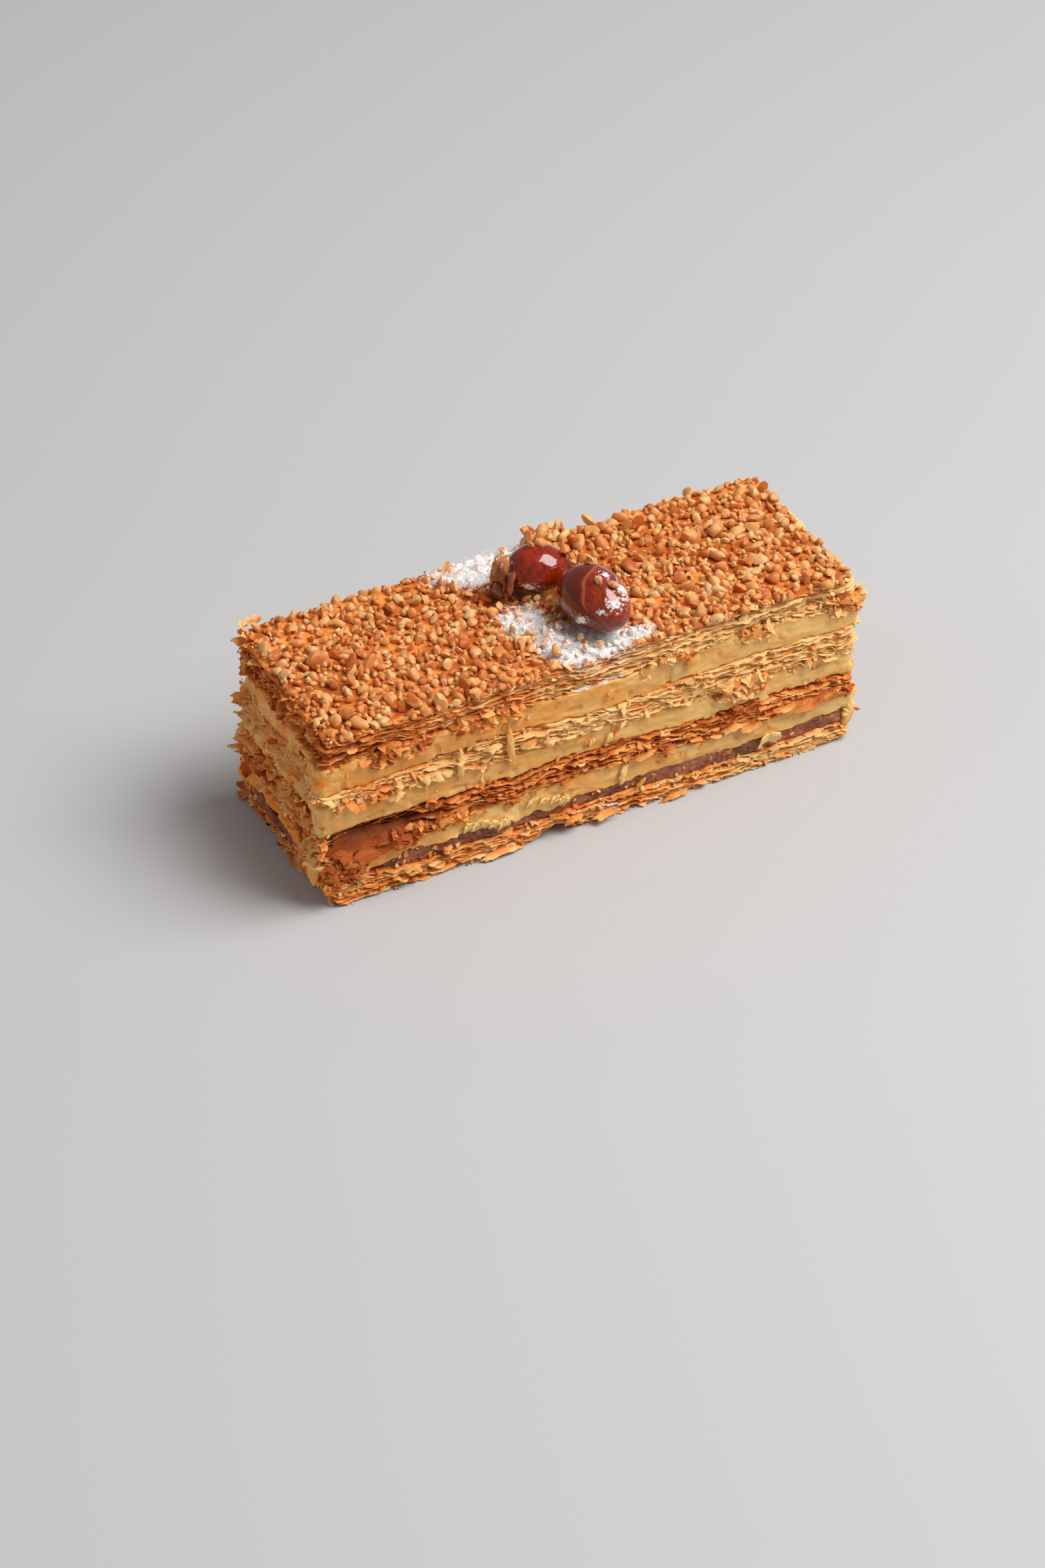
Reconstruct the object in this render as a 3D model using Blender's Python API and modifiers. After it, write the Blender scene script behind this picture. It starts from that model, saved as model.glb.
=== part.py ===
"""Mille feuille slice, in metres, +Z up, +X along its length, its long front side towards -Y.

Four flaky pastry sheets hold three layers of custard cream and one of praline paste.
Chopped nuts are baked onto the top sheet. Two glazed nuts and a chip of caramel lie on it.
"""
import math

import bmesh
import bpy
import numpy as np
from mathutils import Euler, Matrix, Vector, noise

MM = 0.001
GAP = 0.3 * MM

# Heights of each layer's upper face, in millimetres, along the front side and along the back
# side, at the stations from the left end to the right end. The layers sag and swell by a few
# millimetres, as pressed flaky pastry does.
STATIONS = tuple(x * MM for x in (-60, -40, -20, 0, 20, 40, 60))
FRONT_HEIGHTS = {
    "pastry_base": (5.9, 5.0, 4.4, 4.8, 4.0, 3.8, 4.6),
    "praline_paste": (7.4, 7.2, 7.1, 7.3, 6.9, 6.7, 7.3),
    "cream_lower": (9.9, 9.9, 11.9, 12.6, 10.7, 10.6, 10.9),
    "pastry_lower": (16.0, 18.3, 17.3, 17.8, 16.6, 16.9, 16.0),
    "cream_middle": (24.7, 23.2, 22.0, 22.3, 21.3, 21.6, 21.6),
    "pastry_middle": (27.0, 27.8, 28.4, 26.8, 27.8, 28.2, 27.8),
    "cream_upper": (33.0, 33.6, 33.0, 32.8, 33.3, 33.9, 32.3),
    "pastry_top": (39.2, 39.6, 39.7, 39.8, 39.9, 39.7, 39.3),
}
BACK_SHIFT = 0.9        # how far the back side's heights wander from the front's, in millimetres
BACK_SHIFT_LENGTH = 34 * MM

# Where each layer ends: left, right, front and back, in millimetres.
REACH = {
    "pastry_base": (-58.2, 57.3, -20.7, 20.4),
    "praline_paste": (-47.0, 56.3, -20.1, 19.7),
    "cream_lower": (-60.3, 58.8, -20.2, 20.0),
    "pastry_lower": (-60.0, 57.2, -20.5, 20.4),
    "cream_middle": (-60.0, 58.9, -20.1, 19.8),
    "pastry_middle": (-59.6, 58.4, -20.4, 20.4),
    "cream_upper": (-59.8, 59.7, -20.1, 19.8),
    "pastry_top": (-57.6, 57.0, -19.9, 19.9),
}

CELLS_ALONG = 24        # cells of a layer along the slice
CELLS_ACROSS = 5        # cells across it
PASTRY_LEAVES = 4       # steps in the height of a pastry sheet's side
CREAM_STEPS = 2
CORNER = 4.0 * MM       # how far the corners are rounded
TOP_RIM = 0.5 * MM      # how far the top sheet's rim drops

PASTE_START = 9.0 * MM  # length over which the paste thins out at its left end
PASTE_SLANT = 0.22      # how far the paste's left end runs back towards the left, per metre of depth
PASTE_ROOM = 0.35 * MM  # how much wider the gap over the paste's thin end is

BASE_ARCH_X = -11.0 * MM
BASE_ARCH_WIDTH = 3.5 * MM
BASE_ARCH_RISE = 1.7 * MM
BASE_ARCH_DEPTH = 6.0 * MM

LUMP_AT = (-59.5 * MM, -17.5 * MM, 9.0 * MM)   # where cream bulges out at the front left corner
LUMP_REACH = 5.5 * MM
LUMP_RISE = 1.6 * MM

FLAKE_THICKNESS = 0.55 * MM
FLAKE_SIDES = 5
FLAKES = {"pastry_base": 16, "pastry_lower": 18, "pastry_middle": 18, "pastry_top": 14}

BIT_COUNT = 92          # chopped nuts that are large enough for the solid
BIT_SIZE = (3.0 * MM, 4.4 * MM)
BIT_MARGIN = 1.6 * MM   # how far the bits stay from the top sheet's edge
NUT_CLEARANCE = 1.9 * MM

# Glazed nuts: place, half length, half width, half height, turn about Z and tilt, in degrees.
GLAZED_NUTS = {
    "glazed_nut_front": ((4.3, -10.7, 46.3), (8.9, 6.3, 6.2), -82.0, -2.0),
    "glazed_nut_back": ((0.0, 4.5, 45.2), (6.5, 5.1, 4.9), -22.0, 3.0),
}
NUT_POINT = 0.10        # how far a nut narrows towards one end, as a share of its width
CHIP_AT = (-8.1 * MM, 6.0 * MM)
CHIP_SIZE = (4.0 * MM, 8.6 * MM)
CHIP_THICKNESS = 0.8 * MM
CHIP_TURN = -28.0
CHIP_CURL = 3.6 * MM

ORDER = list(FRONT_HEIGHTS)


def clear_scene():
    """Remove whatever the file holds."""
    for thing in list(bpy.data.objects):
        bpy.data.objects.remove(thing, do_unlink=True)


def new_collection(name):
    """A collection linked to the scene."""
    group = bpy.data.collections.new(name)
    bpy.context.scene.collection.children.link(group)
    return group


def material(name, colour, roughness, coat=0.0):
    """A Principled material with one colour."""
    mat = bpy.data.materials.new(name)
    mat.use_nodes = True
    shader = mat.node_tree.nodes["Principled BSDF"]
    shader.inputs["Base Color"].default_value = (*colour, 1.0)
    shader.inputs["Roughness"].default_value = roughness
    shader.inputs["Metallic"].default_value = 0.0
    shader.inputs["Coat Weight"].default_value = coat
    return mat


def pastry_material(name, colour):
    """Baked flaky pastry: matte, with a little fat on it."""
    return material(name, colour, 0.62)


def cream_material(name):
    """Custard cream: pale yellow and slightly wet."""
    return material(name, (0.62, 0.37, 0.13), 0.42)


def paste_material():
    """Praline paste: brown and grainy."""
    return material("praline", (0.22, 0.085, 0.045), 0.6)


def glaze_material(name, colour):
    """Boiled sugar over a nut: dark and glossy."""
    return material(name, colour, 0.12, coat=0.8)


def smooth(t):
    """Ease from 0 to 1."""
    t = min(max(t, 0.0), 1.0)
    return t * t * (3.0 - 2.0 * t)


def between_stations(values, x):
    """Height in metres at x, eased between the stations."""
    x = min(max(x, STATIONS[0]), STATIONS[-1])
    for left, right, low, high in zip(STATIONS, STATIONS[1:], values, values[1:]):
        if x <= right:
            return MM * (low + (high - low) * smooth((x - left) / (right - left)))
    return MM * values[-1]


def upper_face(layer, x, y):
    """Height of a layer's upper face at x and y."""
    values = FRONT_HEIGHTS[layer]
    front = between_stations(values, x)
    row = ORDER.index(layer)
    drift = noise.noise(Vector((x / BACK_SHIFT_LENGTH, 0.4, 3.7 * row)))
    level = MM * sum(values) / len(values)
    back = 0.5 * (front + level) + BACK_SHIFT * MM * drift
    height = front + (back - front) * smooth((y + 0.020) / 0.040)
    if layer == "praline_paste":
        floor = upper_face("pastry_base", x, y)
        taper = (x - paste_end(y)) / PASTE_START + 0.4
        height = floor + (height - floor) * min(max(taper, 0.0), 1.0)
    if layer == "pastry_top":
        edge = min(x - REACH[layer][0] * MM, REACH[layer][1] * MM - x)
        edge = min(edge, y - REACH[layer][2] * MM, REACH[layer][3] * MM - y)
        height -= TOP_RIM * (1.0 - smooth(edge / (2.5 * MM)))
    return height


def paste_end(y):
    """Where the paste's left end runs, which slants back."""
    return REACH["praline_paste"][0] * MM - PASTE_SLANT * (y + 0.020)


def lower_face(layer, x, y):
    """Height of a layer's lower face: the face below it and a gap, or the ground."""
    row = ORDER.index(layer)
    if row:
        room = GAP
        if layer == "cream_lower":
            room += PASTE_ROOM * math.exp(-((x - paste_end(y)) / PASTE_START) ** 2)
        return upper_face(ORDER[row - 1], x, y) + room
    along = (x - BASE_ARCH_X) / BASE_ARCH_WIDTH
    inward = smooth(1.0 - (y + 0.021) / BASE_ARCH_DEPTH)
    return BASE_ARCH_RISE * math.exp(-along * along) * inward


def block(steps):
    """A unit block, -1 to 1 in X and Y and 0 to 1 in Z, cut into cells by planes."""
    mesh = bmesh.new()
    bmesh.ops.create_cube(mesh, size=2.0)
    for vert in mesh.verts:
        vert.co.z = 0.5 * (vert.co.z + 1.0)
    cuts = []
    for axis, count, low, span in ((0, CELLS_ALONG, -1, 2), (1, CELLS_ACROSS, -1, 2), (2, steps, 0, 1)):
        for number in range(1, count):
            at = Vector((0.0, 0.0, 0.5))
            at[axis] = low + span * number / count
            normal = Vector((0.0, 0.0, 0.0))
            normal[axis] = 1.0
            cuts.append((at, normal))
    for at, normal in cuts:
        everything = mesh.verts[:] + mesh.edges[:] + mesh.faces[:]
        bmesh.ops.bisect_plane(mesh, geom=everything, dist=1e-6, plane_co=at, plane_no=normal)
    return mesh


def rounded(x, y, half_x, half_y):
    """Move a point of a rectangle's corner square into a quarter disc."""
    over_x = abs(x) - (half_x - CORNER)
    over_y = abs(y) - (half_y - CORNER)
    if over_x <= 0.0 or over_y <= 0.0:
        return x, y
    pull = max(over_x, over_y) / math.hypot(over_x, over_y)
    x = math.copysign(half_x - CORNER + over_x * pull, x)
    y = math.copysign(half_y - CORNER + over_y * pull, y)
    return x, y


def side_relief(layer, x, y, share, crisp):
    """How far the side stands out at a place, in metres.

    Pastry has leaves: the relief changes quickly with height. Cream has soft swells.
    """
    row = ORDER.index(layer)
    if crisp:
        leaf = noise.noise(Vector((x / (7 * MM), y / (7 * MM), 9.1 * share + 2.3 * row)))
        step = 0.35 * math.cos(math.pi * share * PASTRY_LEAVES)
        return (1.3 * leaf + step) * MM
    swell = noise.noise(Vector((x / (12 * MM), y / (12 * MM), 1.2 * share + 5.1 * row)))
    belly = math.sin(math.pi * share)
    return (0.8 * swell + 0.35 * belly) * MM


def layer_solid(layer, crisp):
    """One layer: the unit block carried to its reach, its two faces and its rough sides."""
    mesh = block(PASTRY_LEAVES if crisp else CREAM_STEPS)
    left, right, front, back = (value * MM for value in REACH[layer])
    half_x = 0.5 * (right - left)
    half_y = 0.5 * (back - front)
    for vert in mesh.verts:
        u, v, share = vert.co
        x, y = rounded(u * half_x, v * half_y, half_x, half_y)
        if max(abs(u), abs(v)) > 0.999:
            out = Vector((x if abs(u) > 0.999 else 0.0, y if abs(v) > 0.999 else 0.0, 0.0))
            out.normalize()
            amount = side_relief(layer, x + left + half_x, y, share, crisp)
            x += out.x * amount
            y += out.y * amount
        x += left + half_x
        y += front + half_y
        if layer == "praline_paste" and u < 0.0:
            x += (paste_end(y) - left) * u * u * (-u)
        if layer == "cream_lower":
            away = Vector((x, y, 0.0)) - Vector((LUMP_AT[0], LUMP_AT[1], 0.0))
            bulge = LUMP_RISE * math.exp(-(away.length / LUMP_REACH) ** 2)
            if u < -0.999:
                x -= bulge
        low = lower_face(layer, x, y)
        high = upper_face(layer, x, y)
        vert.co = (x, y, low + share * (high - low))
    bmesh.ops.triangulate(mesh, faces=mesh.faces[:])
    bmesh.ops.recalc_face_normals(mesh, faces=mesh.faces[:])
    return mesh


def as_object(mesh, name, group, mat=None):
    """Put a bmesh into a named object."""
    data = bpy.data.meshes.new(name)
    mesh.to_mesh(data)
    mesh.free()
    if mat is not None:
        data.materials.append(mat)
    thing = bpy.data.objects.new(name, data)
    group.objects.link(thing)
    return thing


def flake(centre, size, turn, group):
    """A thin five-sided leaf of pastry."""
    mesh = bmesh.new()
    bmesh.ops.create_cone(mesh, cap_ends=True, segments=FLAKE_SIDES, radius1=0.5, radius2=0.42, depth=1.0)
    bmesh.ops.scale(mesh, vec=size, verts=mesh.verts)
    bmesh.ops.rotate(mesh, cent=(0, 0, 0), matrix=Euler(turn).to_matrix(), verts=mesh.verts)
    bmesh.ops.translate(mesh, vec=centre, verts=mesh.verts)
    bmesh.ops.triangulate(mesh, faces=mesh.faces[:])
    return as_object(mesh, "flake", group)


def side_point(layer, place):
    """A point on a layer's outline and its outward direction, for a place from 0 to 1 round it."""
    left, right, front, back = (value * MM for value in REACH[layer])
    long, short = right - left, back - front
    way = place * 2.0 * (long + short)
    if way < long:
        return Vector((left + way, front, 0.0)), Vector((0.0, -1.0, 0.0))
    way -= long
    if way < short:
        return Vector((right, front + way, 0.0)), Vector((1.0, 0.0, 0.0))
    way -= short
    if way < long:
        return Vector((right - way, back, 0.0)), Vector((0.0, 1.0, 0.0))
    return Vector((left, back - (way - long), 0.0)), Vector((-1.0, 0.0, 0.0))


def add_flakes(layer, group):
    """Loose-edged leaves that stand out of a pastry sheet's side, spread evenly round it."""
    draw = np.random.default_rng(40 + ORDER.index(layer))
    count = FLAKES[layer]
    for number in range(count):
        place, out = side_point(layer, (number + draw.uniform(0.25, 0.75)) / count)
        width = draw.uniform(4.5, 7.5) * MM
        reach = draw.uniform(3.0, 4.2) * MM
        low = lower_face(layer, place.x, place.y)
        high = upper_face(layer, place.x, place.y)
        share = draw.uniform(0.3, 0.75)
        centre = place - out * draw.uniform(0.2, 0.9) * MM
        centre.z = low + share * (high - low)
        heading = math.atan2(out.y, out.x)
        room = min(centre.z - low, high - centre.z) - 0.6 * FLAKE_THICKNESS
        lean = min(0.9 * math.asin(min(1.0, max(room, 0.0) / (0.5 * reach))), 0.3)
        turn = (0.0, draw.uniform(-lean, lean), heading)
        flake(centre, (reach, width, FLAKE_THICKNESS), turn, group)


def add_bits(group):
    """Chopped nuts on the top sheet: the largest ones, each the best of several draws."""
    draw = np.random.default_rng(7)
    left, right, front, back = (value * MM for value in REACH["pastry_top"])
    low = np.array([left + BIT_MARGIN, front + BIT_MARGIN])
    high = np.array([right - BIT_MARGIN, back - BIT_MARGIN])
    places = []
    for number in range(BIT_COUNT):
        tries = draw.uniform(low, high, (24, 2))
        tries = tries[[clear_of_nuts(*place) for place in tries]]
        if places:
            away = np.linalg.norm(tries[:, None] - np.array(places)[None], axis=2).min(axis=1)
            places.append(tries[int(np.argmax(away))])
        else:
            places.append(tries[0])
    for number, (x, y) in enumerate(places):
        share = number / BIT_COUNT
        size = BIT_SIZE[1] + (BIT_SIZE[0] - BIT_SIZE[1]) * share
        shape = draw.uniform((0.95, 0.75, 0.6), (1.2, 0.95, 0.8)) * size
        turn = Euler(draw.uniform(-math.pi, math.pi, 3))
        mesh = bmesh.new()
        bmesh.ops.create_icosphere(mesh, subdivisions=1, radius=0.5)
        for vert in mesh.verts:
            vert.co *= 1.0 + draw.uniform(-0.16, 0.16)
        bmesh.ops.scale(mesh, vec=shape, verts=mesh.verts)
        bmesh.ops.rotate(mesh, cent=(0, 0, 0), matrix=turn.to_matrix(), verts=mesh.verts)
        lift = upper_face("pastry_top", x, y) + 0.22 * size
        bmesh.ops.translate(mesh, vec=(x, y, lift), verts=mesh.verts)
        as_object(mesh, "nut_bit", group)


def clear_of_nuts(x, y):
    """Whether a place on the top sheet is clear of the glazed nuts and the chip."""
    for (centre, half, turn, tilt) in GLAZED_NUTS.values():
        angle = math.radians(turn)
        dx, dy = x - centre[0] * MM, y - centre[1] * MM
        along = dx * math.cos(angle) + dy * math.sin(angle)
        across = dy * math.cos(angle) - dx * math.sin(angle)
        reach = (half[0] * MM + NUT_CLEARANCE, half[1] * MM + NUT_CLEARANCE)
        if (along / reach[0]) ** 2 + (across / reach[1]) ** 2 < 1.0:
            return False
    return math.hypot(x - CHIP_AT[0], y - CHIP_AT[1]) > 0.5 * CHIP_SIZE[0] + NUT_CLEARANCE


def fuse(thing, extras, solver="MANIFOLD"):
    """Join a collection's solids to one by a Boolean union, apply it and drop loose scraps."""
    union = thing.modifiers.new("Fuse", "BOOLEAN")
    union.operation = "UNION"
    union.operand_type = "COLLECTION"
    union.collection = extras
    union.solver = solver
    bpy.context.view_layer.update()
    seen = thing.evaluated_get(bpy.context.evaluated_depsgraph_get())
    joined = bpy.data.meshes.new_from_object(seen)
    thing.modifiers.clear()
    thing.data = joined
    for spare in list(extras.objects):
        bpy.data.objects.remove(spare, do_unlink=True)
    bpy.data.collections.remove(extras)
    keep_largest(thing)


def keep_largest(thing):
    """Keep the outer shell of the largest body of a mesh: scraps and sealed hollows go."""
    mesh = bmesh.new()
    mesh.from_mesh(thing.data)
    left = set(mesh.verts)
    bodies = []
    while left:
        front = [left.pop()]
        body = set(front)
        while front:
            vert = front.pop()
            for edge in vert.link_edges:
                other = edge.other_vert(vert)
                if other in left:
                    left.remove(other)
                    body.add(other)
                    front.append(other)
        bodies.append(body)
    bodies.sort(key=len)
    for body in bodies[:-1]:
        bmesh.ops.delete(mesh, geom=list(body), context="VERTS")
    mesh.to_mesh(thing.data)
    mesh.free()


def pastry(layer, group, mat, extra=None):
    """A flaky sheet with its leaves, and what else is fused to it."""
    thing = as_object(layer_solid(layer, crisp=True), layer, group, mat)
    extras = new_collection(layer + "_extras")
    add_flakes(layer, extras)
    if extra:
        extra(extras)
    fuse(thing, extras)
    return thing


def hanging_flake(group):
    """The large leaf that stands out at the front of the middle sheet and hangs down."""
    x = 32.0 * MM
    top = upper_face("pastry_middle", x, -0.020) - 1.6 * MM
    flake(Vector((x, -20.9 * MM, top)), (4.4 * MM, 10.0 * MM, 0.9 * MM), (0, 0.12, -math.pi / 2), group)
    flake(Vector((x + 0.6 * MM, -22.1 * MM, top - 3.2 * MM)), (6.8 * MM, 9.0 * MM, 0.7 * MM),
          (0, 1.35, -math.pi / 2), group)


def side_spurs(group):
    """Leaves that stick out of the middle sheet's right end and back."""
    x, y = 58.4 * MM, -16.5 * MM
    centre = Vector((x, y, lower_face("pastry_middle", x, y) + 1.6 * MM))
    flake(centre, (5.2 * MM, 6.0 * MM, 1.1 * MM), (0, 0.08, -0.35), group)
    x, y = -24.0 * MM, 20.6 * MM
    centre = Vector((x, y, lower_face("pastry_middle", x, y) + 3.0 * MM))
    flake(centre, (4.4 * MM, 9.0 * MM, 1.0 * MM), (0, 0.08, math.pi / 2), group)


def crumb_lump(group):
    """The lump of crumbs at the front right corner, under the top sheet's rim."""
    draw = np.random.default_rng(21)
    for number in range(6):
        x = (53.6 + 0.95 * number) * MM
        y = -19.2 * MM + draw.uniform(-0.5, 0.5) * MM
        low = lower_face("pastry_top", x, y)
        mesh = bmesh.new()
        bmesh.ops.create_icosphere(mesh, subdivisions=1, radius=draw.uniform(1.5, 2.1) * MM)
        for vert in mesh.verts:
            vert.co *= 1.0 + draw.uniform(-0.2, 0.2)
        bmesh.ops.translate(mesh, vec=(x, y, low + 2.75 * MM), verts=mesh.verts)
        as_object(mesh, "crumb", group)


def top_extras(group):
    """What is fused to the top sheet."""
    crumb_lump(group)
    add_bits(group)


def glazed_nut(name, group, mat):
    """A nut in boiled sugar: a sphere drawn out to an egg and laid on its side."""
    centre, half, turn, tilt = GLAZED_NUTS[name]
    mesh = bmesh.new()
    bmesh.ops.create_uvsphere(mesh, u_segments=18, v_segments=11, radius=1.0)
    place = Matrix.Translation(Vector(centre) * MM)
    place @= Euler((0.0, math.radians(tilt), math.radians(turn))).to_matrix().to_4x4()
    for vert in mesh.verts:
        pole = vert.co.z
        slim = 1.0 - NUT_POINT * (pole + pole * pole)
        bump = 1.0 + 0.05 * noise.noise(vert.co * 1.7 + Vector((centre[0], 0.0, 0.0)))
        shape = Vector((pole * half[0], vert.co.x * half[1] * slim, vert.co.y * half[2] * slim))
        vert.co = place @ (shape * (MM * bump))
    bmesh.ops.triangulate(mesh, faces=mesh.faces[:])
    bmesh.ops.recalc_face_normals(mesh, faces=mesh.faces[:])
    thing = as_object(mesh, name, group, mat)
    thing.data.shade_smooth()
    return thing


def caramel_chip(group, mat):
    """A curled chip of caramel that stands against the back nut: a curved sheet with a thickness."""
    mesh = bmesh.new()
    bmesh.ops.create_grid(mesh, x_segments=4, y_segments=5, size=0.5)
    width, height = CHIP_SIZE
    floor = upper_face("pastry_top", *CHIP_AT) + GAP
    place = Matrix.Translation((CHIP_AT[0], CHIP_AT[1], floor))
    place @= Matrix.Rotation(math.radians(CHIP_TURN), 4, "Z")
    for vert in mesh.verts:
        u, v = vert.co.x, vert.co.y + 0.5
        side = u * width * (1.0 - 0.4 * v * v)
        curl = CHIP_CURL * (u * u + 0.4 * math.sin(math.pi * v))
        frill = 0.3 * MM * noise.noise(Vector((3 * u, 5 * v, 2.0)))
        vert.co = place @ Vector((side, frill - curl, 0.3 * CHIP_THICKNESS + v * height))
    thing = as_object(mesh, "caramel_chip", group, mat)
    wall = thing.modifiers.new("Thickness", "SOLIDIFY")
    wall.thickness = CHIP_THICKNESS
    wall.offset = 0.0
    return thing


def main():
    """Build the slice from the ground up."""
    clear_scene()
    group = new_collection("mille_feuille_slice")
    pale = pastry_material("pale_pastry", (0.74, 0.42, 0.17))
    brown = pastry_material("brown_pastry", (0.45, 0.17, 0.05))
    baked = pastry_material("baked_pastry", (0.66, 0.31, 0.10))
    nutty = pastry_material("nut_topping", (0.62, 0.25, 0.07))
    pastry("pastry_base", group, baked)
    as_object(layer_solid("praline_paste", crisp=False), "praline_paste", group, paste_material())
    for layer in ("cream_lower", "cream_middle", "cream_upper"):
        as_object(layer_solid(layer, crisp=False), layer, group, cream_material(layer))
    pastry("pastry_lower", group, brown)
    pastry("pastry_middle", group, pale, lambda extras: (hanging_flake(extras), side_spurs(extras)))
    pastry("pastry_top", group, nutty, top_extras)
    for name in GLAZED_NUTS:
        glazed_nut(name, group, glaze_material(name, (0.14, 0.02, 0.008)))
    caramel_chip(group, glaze_material("caramel", (0.33, 0.12, 0.05)))


if __name__ == "__main__":
    main()
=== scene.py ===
"""Looks of a mille feuille slice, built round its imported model, in metres, +Z up.

The slice lies along X with its long front side towards -Y. Each pastry sheet becomes a core with
many thin baked leaves, loose shards and crumbs, each filling a smooth body that bulges between
the sheets, and the top carries chopped nuts, glazed nuts, a chip of caramel and powdered sugar.
"""

import bmesh
import bpy
import numpy as np
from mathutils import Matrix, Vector
from mathutils.bvhtree import BVHTree


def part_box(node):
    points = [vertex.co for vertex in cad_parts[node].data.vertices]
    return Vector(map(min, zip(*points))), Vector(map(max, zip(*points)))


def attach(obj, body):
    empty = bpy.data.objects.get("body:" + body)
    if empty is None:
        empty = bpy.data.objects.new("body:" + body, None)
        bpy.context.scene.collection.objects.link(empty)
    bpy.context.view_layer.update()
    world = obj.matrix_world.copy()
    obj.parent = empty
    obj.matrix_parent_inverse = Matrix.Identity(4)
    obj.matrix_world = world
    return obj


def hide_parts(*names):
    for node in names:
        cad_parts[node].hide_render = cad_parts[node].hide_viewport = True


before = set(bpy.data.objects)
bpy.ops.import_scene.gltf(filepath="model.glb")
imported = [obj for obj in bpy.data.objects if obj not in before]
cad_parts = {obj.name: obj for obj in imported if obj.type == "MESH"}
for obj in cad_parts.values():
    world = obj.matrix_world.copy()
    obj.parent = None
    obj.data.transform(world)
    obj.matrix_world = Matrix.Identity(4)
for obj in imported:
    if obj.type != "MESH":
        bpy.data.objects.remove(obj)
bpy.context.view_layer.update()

bl_info = {
    "name": "Mille feuille slice",
    "version": (1, 0, 0),
    "blender": (4, 5, 0),
    "location": "3D View > Sidebar > Pastry",
    "description": "Builds the surfaces of a mille feuille slice over its solid model",
    "category": "Object",
}

MM = 0.001
BODY = "root"

# Where each layer ends: left, right, front and back, in millimetres.
REACH = {
    "pastry_base": (-58.2, 57.3, -20.7, 20.4),
    "praline_paste": (-47.0, 57.2, -20.1, 19.7),
    "cream_lower": (-60.3, 58.8, -20.2, 20.0),
    "pastry_lower": (-60.0, 57.2, -20.5, 20.4),
    "cream_middle": (-60.0, 58.9, -20.1, 19.8),
    "pastry_middle": (-59.6, 58.4, -20.4, 20.4),
    "cream_upper": (-59.8, 59.7, -20.1, 19.8),
    "pastry_top": (-57.6, 57.0, -19.9, 19.9),
}
SHEETS = ("pastry_base", "pastry_lower", "pastry_middle", "pastry_top")
CREAMS = ("cream_lower", "cream_middle", "cream_upper")
ORDER = tuple(REACH)

# Corner radii in millimetres: front right, back right, back left, front left.
CORNERS = (2.0, 4.0, 2.4, 1.5)

# How far the left end draws in behind its front corner, in millimetres.
LEFT_DENT = {"cream_lower": 1.2, "pastry_lower": 1.2, "cream_middle": 1.8, "pastry_middle": 1.4, "cream_upper": 1.9}

# How far seams rise on the left end behind its front corner, in millimetres, from the floor up.
LEFT_RISE = (0.0, -1.6, -1.0, 1.0, 1.2, -2.0, 0.2, 0.2, 0.0)

# How much further out each layer's lower edge lies than its upper one, at the ends, in millimetres.
FLARE = {"pastry_top": 1.5, "cream_upper": 0.3, "pastry_lower": 0.9, "pastry_base": -0.8}

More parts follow.
